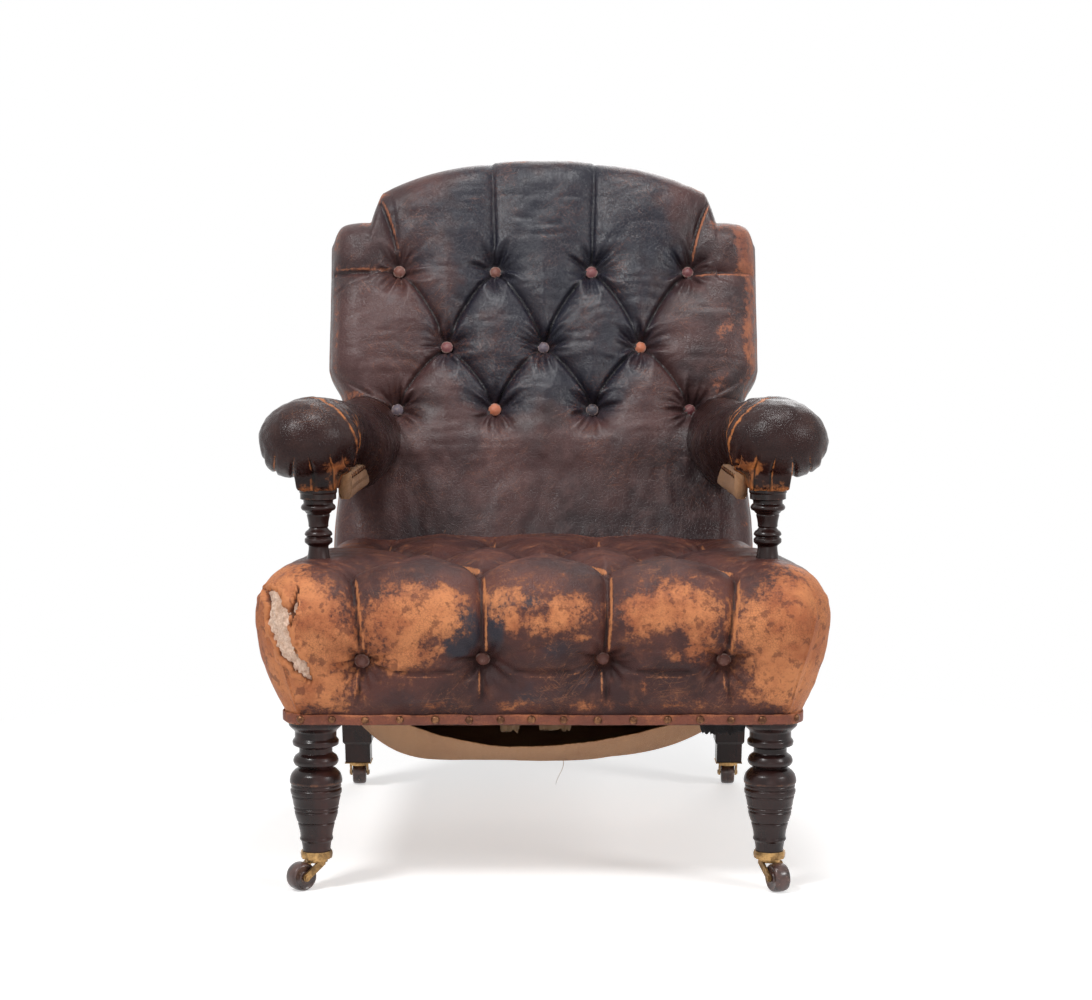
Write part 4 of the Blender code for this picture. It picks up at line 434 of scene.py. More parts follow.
def agedBrass():
    n = Nodes("brassTarnished")
    patch = n.noise(60, 5.0, 0.65)
    fine = n.noise(420, 3.0, 0.6)
    colour = n.blend(n.span(patch, 0.35, 0.65), paint(112, 88, 60), paint(186, 148, 98))
    colour = n.blend(n.times(n.span(fine, 0.55, 0.75), 0.5), colour, paint(70, 50, 36))
    rough = n.span(patch, 0.3, 0.7, 0.55, 0.32)
    return n.finish(colour, rough, n.bump(n.add(patch, fine), 0.0003, 0.5), Metallic=1.0)


def nailBrass():
    n = Nodes("brassNails")
    patch = n.noise(130, 4.0, 0.6)
    colour = n.blend(n.span(patch, 0.40, 0.66), paint(84, 54, 40), paint(138, 96, 66))
    return n.finish(colour, n.span(patch, 0.3, 0.7, 0.50, 0.34), n.bump(patch, 0.0003, 0.5), Metallic=0.85)


def wheelBrown():
    n = Nodes("wheelGlazedBrown")
    patch = n.noise(70, 4.0, 0.6)
    chips = n.span(n.noise(190, 4.0, 0.7), 0.60, 0.68)
    colour = n.blend(n.span(patch, 0.35, 0.65), paint(44, 28, 26), paint(84, 56, 50))
    colour = n.blend(n.times(chips, 0.7), colour, paint(146, 118, 104))
    rough = n.add(n.span(patch, 0.3, 0.7, 0.24, 0.42), n.times(chips, 0.3))
    return n.finish(colour, rough, n.bump(n.add(patch, n.times(chips, -0.8)), 0.0003, 0.6), Coat_Weight=0.25)


def weave(name, light, dark, pitch, relief, plane="cut"):
    # Plain woven cloth on the piece's own cut in metres, or laid on a level or an upright plane.
    n = Nodes(name)
    if plane == "cut":
        cut = n.make("ShaderNodeUVMap", 0, uv_map="cut")
    else:
        cut = n.where((1, 1, 1), (math.pi / 2, 0, 0) if plane == "upright" else (0, 0, 0))
    turns = 2 * math.pi / pitch
    split = n.make("ShaderNodeSeparateXYZ", 0, {0: n.bent(cut, 60.0, (0.0016, 0.0016, 0.0))})
    across = n.maths("SINE", n.times(split, turns))
    along = n.maths("SINE", n.times(split.node.outputs[1], turns))
    over = n.maths("MULTIPLY", across, along)
    strands = n.add(n.maths("ABSOLUTE", across), n.maths("ABSOLUTE", along))
    patch = n.make("ShaderNodeTexNoise", "Fac", {"Vector": cut, "Scale": 9.0, "Detail": 4.0})
    slub = n.make("ShaderNodeTexNoise", "Fac", {"Vector": cut, "Scale": 220.0, "Detail": 3.0})
    colour = n.blend(n.span(n.add(strands, n.times(over, 0.3)), 0.5, 1.9), dark, light)
    colour = n.blend(n.times(n.span(patch, 0.42, 0.68), 0.35), colour, dark)
    colour = n.blend(n.times(n.span(slub, 0.55, 0.75), 0.4), colour, light)
    height = n.add(strands, n.times(over, 0.5))
    return n.finish(colour, 0.95, n.bump(height, relief, 0.9), Specular_IOR_Level=0.15, Sheen_Weight=0.2)


def fibre(name, light, dark):
    n = Nodes(name)
    fine = n.noise(380, 4.0, 0.7)
    patch = n.noise(60, 3.0)
    colour = n.blend(n.span(n.add(fine, n.times(patch, 0.6)), 0.6, 1.1), dark, light)
    return n.finish(colour, 0.97, n.bump(fine, 0.0012, 0.9), Specular_IOR_Level=0.1, Sheen_Weight=0.3)


def dullSteel():
    n = Nodes("springSteelDull")
    rust = n.noise(160, 4.0, 0.65)
    colour = n.blend(n.span(rust, 0.42, 0.62), paint(112, 106, 100), paint(112, 70, 48))
    return n.finish(colour, n.span(rust, 0.3, 0.7, 0.40, 0.75), n.bump(rust, 0.0003, 0.6), Metallic=0.8)


print("materials")
backLeather = leather("leatherDark", leatherLooks["back"])
seatLeather = leather("leatherTan", leatherLooks["seat"])
armLeather = leather("leatherArms", leatherLooks["arm"])
stripLeather = leather("leatherStrip", leatherLooks["strip"])
buttonSkin = buttonLeather()
mahogany = polishedWood()
beech = plainWood()
brass = agedBrass()
nailMetal = nailBrass()
wheelFinish = wheelBrown()
# Light and dark thread, pitch of the threads and how far they stand out
hessian = (paint(226, 174, 128), paint(164, 112, 76), 0.0021, 0.0006)
jute = (paint(164, 128, 92), paint(84, 60, 44), 0.0016, 0.0005)
hessianCloth = weave("hessianCloth", *hessian)
webCloth = weave("juteWebbing", *jute)
blackCloth = weave("blackLining", paint(44, 40, 42), paint(20, 18, 20), 0.0012, 0.0003)
levelHessian = weave("hessianLevel", *hessian, plane="level")
levelWeb = weave("webbingLevel", *jute, plane="level")
uprightHessian = weave("hessianUpright", *hessian, plane="upright")
uprightWeb = weave("webbingUpright", *jute, plane="upright")
hairFill = fibre("curledHair", paint(104, 84, 66), paint(48, 38, 30))
cottonWadding = fibre("cottonWadding", paint(244, 218, 198), paint(200, 164, 140))
frayFibre = fibre("frayedJute", paint(214, 176, 138), paint(150, 108, 76))
springSteel = dullSteel()


# Pleats and buttons

def pleatDistance(x, v, pleats):
    # Nearest distance to each pleat, which bows a little, with the pull it has there.
    pull = np.zeros_like(x)
    crease = np.zeros_like(x)
    lip = np.zeros_like(x)
    rubbed = np.zeros_like(x)
    for x1, v1, x2, v2, depth1, depth2, bow in pleats:
        dx, dv = x2 - x1, v2 - v1
        length = math.hypot(dx, dv)
        share = np.clip(((x - x1) * dx + (v - v1) * dv) / length ** 2, 0.0, 1.0)
        shift = bow * 4 * share * (1 - share)
        px = x1 + share * dx - shift * dv / length
        pv = v1 + share * dv + shift * dx / length
        distance = np.hypot(x - px, v - pv)
        sign = np.sign((x - px) * dv - (v - pv) * dx)
        depth = mix(depth1, depth2, share)
        here = depth * np.exp(-(distance / tuftShape["pleatWidth"]) ** tuftShape["pleatPower"])
        pull = np.maximum(pull, here)
        strength = np.clip(depth * 1.6, 0, 1)
        crease = np.maximum(crease, strength * bell(distance, 0.0021))
        beyond, before = bell(distance - 0.005, 0.004), -0.5 * bell(distance - 0.004, 0.003)
        lip = lip + strength * np.where(sign > 0, beyond, before)
        beside = strength * bell(distance - 0.0044, 0.0025) * np.where(sign > 0, 1.0, 0.45)
        rubbed = np.maximum(rubbed, beside * ease(share * 7) * ease((1 - share) * 7))
    return pull, crease, np.clip(lip, -1.0, 1.2), rubbed


tuftShape = {"pleatWidth": 0.0205, "pleatPower": 0.92, "dimple": 0.0270, "dimplePower": 1.05,
             "seatOfButton": 0.0085, "radialFolds": 0.0024, "lip": 0.0015, "crease": 0.0026}


def tuftRelief(x, v, pleats, buttons, tuft, puff, seed):
    # Height of the buttoned leather over its smooth form, how sharply it is folded, and how close each point is to a
    # button, which sets the painted shade in the dimples.
    pull, crease, lip, rubbed = pleatDistance(x, v, pleats)
    folds = np.zeros_like(x)
    near = np.zeros_like(x)
    for k, (bx, bv) in enumerate(buttons):
        distance = np.hypot(x - bx, v - bv)
        away = np.maximum(distance - tuftShape["seatOfButton"], 0)
        pull = np.maximum(pull, np.exp(-(away / tuftShape["dimple"]) ** tuftShape["dimplePower"]))
        angle = np.arctan2(v - bv, x - bx)
        bend = angle + 8 * (distance - 0.02) * np.sin(angle * 3 + k * 2.1)
        rays = np.cos(bend * 7 + k * 1.7) + 0.8 * np.cos(bend * 11 + k * 2.9)
        rays = rays + 0.7 * np.cos(bend * 17 + k * 4.3)
        folds = folds + rays * bell(distance - 0.019, 0.016)
        near = np.maximum(near, bell(distance, 0.014))
        rubbed = rubbed * (1 - bell(distance, 0.013))
    height = puff - (tuft + puff) * pull - tuftShape["crease"] * crease
    height = height + tuftShape["radialFolds"] * folds + tuftShape["lip"] * lip
    points = stack(x, v, 0.0)
    bent = v + 0.010 * noise(points, 20, seed + 5)
    drags = np.abs(noise(stack(x * 0.35, bent, 0.0), 62, seed + 7))
    height = height + 0.0016 * fractal(points, 26, 3, seed) + 0.0018 * (drags - 0.3) * (1 - pull)
    return height, crease, rubbed, near


# Seat

seat = {"crest": 0.3850, "rear": 0.3660, "widest": 0.3206, "railBottom": 0.205, "hemTop": 0.2185,
        "halfFront": 0.2785, "halfRear": 0.2425, "frontV": -0.296, "rearV": 0.214, "wall": 0.235,
        "rearWall": 0.100, "round": 0.065, "rearRound": 0.040, "frontBulge": 0.024, "sideBulge": 0.033,
        "sideBulgeRear": 0.005, "shoulder": 0.44, "hem": 0.93, "crown": 0.006, "tuft": 0.030,
        "frontTuft": 0.024, "puff": 0.011, "spacing": 0.143, "rows": (-0.130, 0.030),
        "frontButtons": 0.277, "notch": 0.012,
        "lining": 0.300}


def wallProfile(w, reach, bulge, crest, widest):
    angle = np.pi / 2 * np.clip(w / seat["shoulder"], 0, 1)
    upOut, upHigh = reach * np.sin(angle), widest + (crest - widest) * np.cos(angle)
    share = np.clip((w - seat["shoulder"]) / (seat["hem"] - seat["shoulder"]), 0, 1)
    lowOut, lowHigh = reach - bulge * share ** 1.8, mix(widest, seat["hemTop"], share)
    last = np.clip((w - seat["hem"]) / (1 - seat["hem"]), 0, 1)
    lowHigh = np.where(w > seat["hem"], mix(seat["hemTop"], seat["railBottom"], last), lowHigh)
    upper = w < seat["shoulder"]
    return np.where(upper, upOut, lowOut), np.where(upper, upHigh, lowHigh)


def seatAlong(v):
    return (np.clip(v, seat["frontV"], seat["rearV"]) - seat["frontV"]) / (seat["rearV"] - seat["frontV"])


def seatHalf(v):
    return mix(seat["halfFront"], seat["halfRear"], seatAlong(v))


def seatPoint(x, v):
    y = np.clip(v, seat["frontV"], seat["rearV"])
    along = seatAlong(v)
    half = seatHalf(v)
    outX = np.maximum(np.abs(x) - half, 0) / seat["wall"]
    outFront = np.maximum(seat["frontV"] - v, 0) / seat["wall"]
    outRear = np.maximum(v - seat["rearV"], 0) / seat["rearWall"]
    outY = np.maximum(outFront, outRear)
    crest = mix(seat["crest"], seat["rear"], ease(along))
    crown = seat["crown"] * np.cos(np.minimum(np.abs(x) / half, 1) * np.pi / 2)
    size = np.maximum(np.hypot(outX, outY), 1e-9)
    squash = np.maximum(outX, outY) / size
    w = size * squash
    toX, toY = outX / size, outY / size
    widest = mix(seat["widest"], mix(seat["railBottom"], seat["rear"], 0.6), along)
    inFront = outFront > 0
    frontOut, frontHigh = wallProfile(w, seat["round"], seat["frontBulge"], crest, widest)
    rearOut, rearHigh = wallProfile(w, seat["rearRound"], 0.0, crest, widest)
    reachY = np.where(inFront, frontOut, rearOut)
    heightY = np.where(inFront, frontHigh, rearHigh)
    sideBulge = mix(seat["sideBulge"], seat["sideBulgeRear"], along)
    reachX, heightX = wallProfile(w, seat["round"], sideBulge, crest, widest)
    flat = (outX == 0) & (outY == 0)
    height = np.where(flat, crest + crown, heightX * toX ** 2 + heightY * toY ** 2 + crown * (1 - w))
    px = np.where(flat, x, np.sign(x) * (np.minimum(np.abs(x), half) + reachX * toX))
    py = np.where(flat, y, y + np.where(inFront, -1, 1) * reachY * toY)
    return stack(px, py, height)


def seatOut(x, v):
    step = 0.004
    across = seatPoint(x + step, v) - seatPoint(x - step, v)
    along = seatPoint(x, v + step) - seatPoint(x, v - step)
    out = np.cross(across, along)
    return out / np.linalg.norm(out, axis=-1, keepdims=True)


def seatWallShare(height):
    share = (seat["widest"] - height) / (seat["widest"] - seat["hemTop"])
    return mix(seat["shoulder"], seat["hem"], share)


seatFrontV = seat["frontV"] - seat["wall"] * seatWallShare(seat["frontButtons"])
seatHemV = seat["frontV"] - seat["wall"] * seat["hem"]
halfStep = seat["spacing"] / 2
seatButtons = [(k * halfStep, seatFrontV) for k in (-3, -1, 1, 3)]
seatButtons += [(k * halfStep, seat["rows"][0]) for k in (-2, 0, 2)]
seatButtons += [(k * halfStep, seat["rows"][1]) for k in (-3, -1, 1, 3)]


def seatPleats():
    near, far = seat["rows"]
    pleats = []
    for k in (-3, -1, 1, 3):
        x = k * halfStep
        notchX, notchV = x * 1.07, seat["frontV"] - seat["notch"]
        pleats.append((x, seatFrontV, x * 1.04, seatHemV, 0.62, 0.38, 0.0015))
        pleats.append((x, seatFrontV, notchX, notchV, 0.62, 0.62, -0.002))
        for side in (-1, 1):
            target = x + side * halfStep
            if abs(target) < 2.5 * halfStep:
                pleats.append((notchX, notchV, target, near, 0.62, 0.75, side * 0.006))
                pleats.append((target, near, x, far, 0.75, 0.75, -side * 0.005))
        pleats.append((x, far, x, far + 0.14, 0.70, 0.35, 0.0))
    # Shallow creases from the outer front buttons towards the corners
    for side in (-1, 1):
        x = side * 3 * halfStep
        for out, rise, deep, last, bow in ((0.050, -0.012, 0.40, 0.06, 0.003), (0.055, 0.030, 0.36, 0.04, -0.004)):
            pleats.append((x, seatFrontV, x + side * out, seatFrontV + rise, deep, last, bow))
    # Soft folds between the front buttons: from and to in half steps, with the rise of each end
    folds = ((-0.92, 0.0, 0.92, 0.0, 0.38, 0.38, -0.010), (-0.9, 0.004, 0.5, 0.03, 0.36, 0.03, 0.006),
             (0.9, 0.004, -0.3, 0.045, 0.34, 0.03, 0.006), (0.9, -0.004, 0.1, -0.035, 0.34, 0.03, 0.006))
    for k in (-2, 0, 2):
        for start, low, stop, high, deep, last, bow in folds:
            pleats.append(((k + start) * halfStep, seatFrontV + low, (k + stop) * halfStep, seatFrontV + high,
                           deep, last, bow))
    return pleats


def patches(x, z, spots):
    total = np.zeros_like(x)
    for px, pz, sizeX, sizeZ, amount in spots:
        total = total + amount * np.exp(-(((x - px) / sizeX) ** 2 + ((z - pz) / sizeZ) ** 2) ** 1.4)
    return total


# Rubbed and dark places of the seat's front: centre x, height, half width, half height, amount
seatWornSpots = ((-0.272, 0.305, 0.075, 0.070, 0.86), (-0.150, 0.340, 0.060, 0.030, 0.76),
                 (-0.172, 0.292, 0.034, 0.030, 0.55), (-0.06, 0.360, 0.05, 0.012, 0.45),
                 (-0.045, 0.338, 0.028, 0.012, 0.34), (0.02, 0.335, 0.014, 0.010, 0.44),
                 (0.045, 0.312, 0.016, 0.006, 0.42), (-0.035, 0.325, 0.008, 0.014, 0.44),
                 (0.150, 0.348, 0.060, 0.026, 0.62), (0.185, 0.312, 0.022, 0.036, 0.46),
                 (0.278, 0.318, 0.060, 0.052, 0.90), (0.262, 0.245, 0.060, 0.026, 0.40),
                 (0.118, 0.262, 0.006, 0.020, 0.36), (0.06, 0.348, 0.05, 0.016, 0.30),
                 (-0.32, 0.30, 0.05, 0.10, 0.50), (0.32, 0.30, 0.05, 0.10, 0.55),
                 (-0.262, 0.236, 0.05, 0.024, 0.24), (0.012, 0.330, 0.050, 0.026, 0.36),
                 (0.112, 0.330, 0.026, 0.030, 0.40), (0.175, 0.290, 0.040, 0.018, 0.34),
                 (-0.120, 0.232, 0.040, 0.010, 0.34), (-0.035, 0.230, 0.045, 0.009, 0.38),
                 (0.060, 0.230, 0.045, 0.010, 0.38), (0.150, 0.232, 0.050, 0.010, 0.32),
                 (-0.130, 0.292, 0.030, 0.012, 0.36))
seatBlackSpots = ((-0.090, 0.320, 0.020, 0.032, 0.95), (-0.105, 0.300, 0.016, 0.014, 0.8),
                  (-0.055, 0.325, 0.012, 0.040, 0.85), (0.020, 0.300, 0.034, 0.020, 0.6),
                  (-0.020, 0.352, 0.026, 0.014, 0.60), (0.052, 0.262, 0.030, 0.024, 0.5),
                  (-0.02, 0.248, 0.06, 0.026, 0.5), (0.118, 0.270, 0.034, 0.024, 0.45),
                  (-0.16, 0.240, 0.06, 0.022, 0.45), (0.16, 0.235, 0.05, 0.02, 0.35))


def spacing(edges):
    # Places from a list of (from, to, step) stretches, each shared exactly once.
    line = []
    for low, high, step in edges:
        count = max(int(round((high - low) / step)), 1)
        line += [mix(low, high, i / count) for i in range(count)]
    return np.array(line + [edges[-1][1]])


def seatRelief(x, v):
    tuft = mix(seat["tuft"], seat["frontTuft"], ease((seat["frontV"] - v) / 0.08))
    return tuftRelief(x, v, seatPleats(), seatButtons, tuft, seat["puff"], 5)


def makeSeat():
    front, rear, wall = seat["frontV"], seat["rearV"], seat["wall"]
    vs = spacing([(front - wall, front, 0.0031), (front, 0.10, 0.0036), (0.10, rear, 0.009),
                  (rear, rear + seat["rearWall"], 0.012)])
    us = spacing([(-1.0, -0.5, 0.0052), (-0.5, 0.5, 0.0050), (0.5, 1.0, 0.0105)])
    u, v = np.meshgrid(us, vs)
    half = seatHalf(v)
    x = np.where(np.abs(u) <= 0.5, u * 2 * half, np.sign(u) * (half + (np.abs(u) - 0.5) * 2 * wall))
    height, crease, rubbed, near = seatRelief(x, v)
    hemFade = 1 - ease(((front - v) / wall - 0.80) / (seat["hem"] - 0.80))
    sideFade = 1 - ease((np.abs(x) - half - 0.02) / 0.10)
    rearFade = 1 - ease((v - rear + 0.03) / 0.03)
    fade = np.minimum(np.minimum(hemFade, sideFade), rearFade)
    base = seatPoint(x, v)
    out = seatOut(x, v)
    # Where the walls go down: loose leather with soft drags, less of them at the hem
    loose = 0.0018 * fractal(base, 34, 3, 21) + 0.0011 * noise(base * (1, 1, 0.35), 70, 22)
    wallPart = np.clip((np.abs(x) - half) / wall, 0, 1)
    welt = 0.0022 * bell((np.abs(x) - half - wall * 0.30) / wall, 0.018) * ease((front - v + 0.01) / 0.03)
    relief = height * fade + loose * (1 - fade) * (0.3 + 0.7 * hemFade) + welt
    slit, hollow = tearMask(base)
    relief = relief - tear["depth"] * hollow + 0.0022 * slit
    points = base + out * relief[..., None]
    ridge = ease((height + 0.004) / 0.014) * fade
    worn = patches(base[..., 0], base[..., 2], seatWornSpots) * ease((0.16 - v) / 0.10)
    worn = worn + 0.175 * ridge * ease((front + 0.05 - v) / 0.04) + 0.75 * wallPart * (1 - hollow)
    top = ease((v - front + 0.01) / 0.03)
    worn = worn * (1 - 0.75 * top) + 0.10 * top
    black = patches(base[..., 0], base[..., 2], seatBlackSpots) + 0.34 * top * (1 - ridge)
    edge = rubbed * fade * (0.85 + 0.22 * top)
    edge = np.maximum(edge, 1.2 * slit)
    # Painted shade: the leather is darkened in the recesses below the puffs, along the creases, round the button
    # dimples and inside the tear's hollow.
    shade = np.clip(-(height + 0.006) / 0.018, 0, 1) * 0.75
    creaseShade = np.maximum(np.maximum(crease, shade) * fade, near * fade * 0.95)
    creaseShade = np.maximum(creaseShade, hollow * 0.9)

    rows, columns = x.shape
    verts = [points.reshape(-1, 3)]
    faces = gridFaces(rows, columns)
    previous = [i * columns + j for i, j in rimOf(rows, columns)]
    rimPoints = verts[0][previous]
    ahead = np.roll(rimPoints, -1, axis=0) - np.roll(rimPoints, 1, axis=0)
    inward = stack(-ahead[:, 1], ahead[:, 0], 0.0)
    inward = inward / np.maximum(np.linalg.norm(inward, axis=1, keepdims=True), 1e-9)
    count = len(previous)
    start = rows * columns
    for level in (seat["railBottom"], seat["lining"]):
        ring = rimPoints + inward * 0.0022
        ring[:, 2] = level
        verts.append(ring)
        current = list(range(start, start + count))
        faces += ringFaces(previous, current)
        previous = current
        start += count
    faces.append(previous[::-1])
    attributes = {}
    for key, values in (("worn", worn), ("black", black), ("edge", edge), ("creaseShade", creaseShade)):
        attributes[key] = np.concatenate([values.ravel(), np.zeros(2 * count)])
    item = addPiece("seatLeather", np.concatenate(verts), faces, seatLeather, chair, "tan_leather", "seat_cover",
                    attributes=attributes)


# The tear in the front left corner: a line of points down the leather, with its half width at each
tear = {"line": ((-0.3283, -0.2998, 0.3618), (-0.3157, -0.3368, 0.3546), (-0.3106, -0.3506, 0.3351),
                 (-0.3068, -0.3545, 0.3169), (-0.2974, -0.3561, 0.2954), (-0.2825, -0.3555, 0.2762),
                 (-0.2737, -0.3520, 0.2616)),
        "widths": (0.0010, 0.0088, 0.0150, 0.0138, 0.0100, 0.0076, 0.0010),
        "second": ((-0.2870, -0.3401, 0.3671), (-0.2895, -0.3538, 0.3480), (-0.2934, -0.3590, 0.3265)),
        "secondWidths": (0.0006, 0.0034, 0.0006), "depth": 0.0085}


def alongLine(points, line, widths):
    # Signed clearance to a tapering strip along a line of points: below 1 is inside it.
    best = np.full(points.shape[:-1], 99.0)
    for a, b, wa, wb in zip(line, line[1:], widths, widths[1:]):
        a, b = np.array(a), np.array(b)
        share = np.clip(((points - a) @ (b - a)) / np.dot(b - a, b - a), 0, 1)
        distance = np.linalg.norm(points - a - share[..., None] * (b - a), axis=-1)
        best = np.minimum(best, distance / mix(wa, wb, share))
    return best


def tearMask(points):
    ragged = 1 + 0.30 * noise(points, 130, 31) + 0.25 * noise(points, 320, 32)
    first = alongLine(points, tear["line"], tear["widths"]) * ragged
    second = alongLine(points, tear["second"], tear["secondWidths"]) * ragged
    nearest = np.minimum(first, second)
    return bell(nearest - 1.25, 0.35), 1 - ease((nearest - 0.75) / 0.35)


print("seat leather")
makeSeat()


# Back

back = {"recline": math.radians(18), "footY": 0.262, "footZ": 0.2236, "thick": 0.093, "rim": 0.058,
        "round": 0.050, "bottom": 0.11206, "waist": 0.287, "ear": 0.307, "earTop": 0.604,
        "earBottom": 0.335, "shoulder": 0.2515, "shoulderInner": 0.232, "shoulderTop": 0.651,
        "crest": 0.697, "rear": -0.0023, "tuft": 0.022, "puff": 0.010, "rows": (0.5250, 0.4115, 0.3185),
        "spread": 0.975}


def backPoint(x, n, s):
    cosine, sine = math.cos(back["recline"]), math.sin(back["recline"])
    return stack(x, back["footY"] + n * cosine + s * sine, back["footZ"] - n * sine + s * cosine)


def crestTop(x):
    x = np.abs(x)
    across = np.clip((x - back["shoulder"]) / (back["ear"] - back["shoulder"]), 0, 1)
    ear = back["earTop"] - 0.008 * across ** 2 - 0.026 * across ** 9
    step = np.clip((back["shoulder"] - x) / (back["shoulder"] - back["shoulderInner"]), 0, 1)
    rise = mix(back["earTop"], back["shoulderTop"], np.sin(step * np.pi / 2))
    arch = mix(back["crest"], back["shoulderTop"], np.minimum(x / back["shoulderInner"], 1) ** 2.6)
    proud = 0.0022 * (1 - ease((x - 0.071) / 0.004))
    return np.where(x >= back["shoulder"], ear, np.where(x >= back["shoulderInner"], rise, arch)) + proud


def backHalf(s):
    upper = mix(back["waist"], back["ear"], ease((s - back["earBottom"]) / 0.05))
    return np.where(s >= back["earBottom"], upper, back["waist"] + 0.008 * ease((0.25 - s) / 0.12))


backStep = halfStep * back["spread"]
backButtons = [(k * backStep, back["rows"][0]) for k in (-3, -1, 1, 3)]
backButtons += [(k * backStep, back["rows"][1]) for k in (-2, 0, 2)]
backButtons += [(k * backStep, back["rows"][2]) for k in (-3, -1, 1, 3)]


# Short drags in the leather between the buttons, each from one place to another
backDrags = ((-0.035, 0.500, 0.022, 0.492), (-0.130, 0.480, -0.095, 0.452), (0.030, 0.450, 0.062, 0.470),
             (0.120, 0.500, 0.165, 0.488), (-0.175, 0.395, -0.215, 0.420), (0.170, 0.380, 0.210, 0.400),
             (-0.030, 0.350, 0.030, 0.342), (0.110, 0.350, 0.140, 0.330), (-0.110, 0.352, -0.082, 0.330),
             (-0.240, 0.300, -0.262, 0.250), (0.240, 0.292, 0.268, 0.246), (-0.05, 0.60, 0.02, 0.585))


def backPleats():
    top, middle, low = back["rows"]
    pleats = []
    for k in (-3, -1, 1, 3):
        x = k * backStep
        for side in (-1, 1):
            target = x + side * backStep
            if abs(target) < 2.5 * backStep:
                pleats.append((x, top, target, middle, 0.62, 0.62, side * 0.008))
                pleats.append((target, middle, x, low, 0.62, 0.62, -side * 0.007))
    for side in (-1, 1):
        inner, outer = side * backStep, side * 3 * backStep
        pleats.append((inner, top, inner * 1.07, back["crest"], 0.55, 0.34, 0.0))
        pleats.append((outer, top, side * 0.244, 0.640, 0.60, 0.50, side * 0.005))
        pleats.append((outer, top, side * 0.226, 0.652, 0.36, 0.20, side * 0.004))
        pleats.append((outer, top, side * back["ear"], top - 0.002, 0.60, 0.42, side * -0.004))
        pleats.append((outer, top, side * back["ear"], top - 0.040, 0.26, 0.14, side * 0.004))
        pleats.append((outer, low, side * back["ear"], low + 0.022, 0.60, 0.40, side * -0.004))
        pleats.append((outer, low, side * back["ear"], low + 0.060, 0.40, 0.16, side * -0.006))
        pleats.append((outer, low, side * 0.285, low - 0.035, 0.30, 0.10, side * 0.004))
        pleats.append((inner, low, inner * 1.04, low - 0.060, 0.50, 0.04, 0.0))
        pleats.append((inner, low, inner * 1.25, low - 0.045, 0.26, 0.03, 0.0))
        pleats.append((outer, top, side * 0.150, top + 0.055, 0.20, 0.03, 0.0))
        pleats.append((inner, top, inner * 1.5, top + 0.060, 0.24, 0.03, 0.0))
    for x, s, toX, toS in backDrags:
        pleats.append((x, s, toX, toS, 0.16, 0.05, 0.004))
    return pleats


# Rubbed and dark places of the back: centre x, level up the slope, half width, half height, amount
backWornSpots = ((0.288, 0.560, 0.020, 0.050, 0.66), (0.300, 0.450, 0.012, 0.110, 0.50),
                 (0.262, 0.430, 0.028, 0.060, 0.42), (0.214, 0.565, 0.030, 0.022, 0.40),
                 (0.252, 0.592, 0.022, 0.014, 0.45), (0.255, 0.345, 0.040, 0.020, 0.40),
                 (-0.300, 0.500, 0.007, 0.110, 0.26), (-0.256, 0.598, 0.018, 0.012, 0.36),
                 (-0.262, 0.332, 0.030, 0.014, 0.38), (0.235, 0.655, 0.020, 0.014, 0.40),
                 (-0.236, 0.640, 0.012, 0.020, 0.34), (0.285, 0.250, 0.012, 0.06, 0.30),
                 (-0.285, 0.250, 0.012, 0.06, 0.26), (0.02, 0.693, 0.20, 0.008, 0.22))
backBlackSpots = ((0.0, 0.44, 0.19, 0.12, 0.85), (-0.03, 0.62, 0.21, 0.10, 1.15),
                  (0.10, 0.58, 0.14, 0.09, 0.75), (0.0, 0.34, 0.15, 0.05, 0.40),
                  (-0.18, 0.66, 0.05, 0.03, -0.5), (0.21, 0.62, 0.04, 0.05, -0.5))


def backRelief(x, s):
    return tuftRelief(x, s, backPleats(), backButtons, back["tuft"], back["puff"], 41)


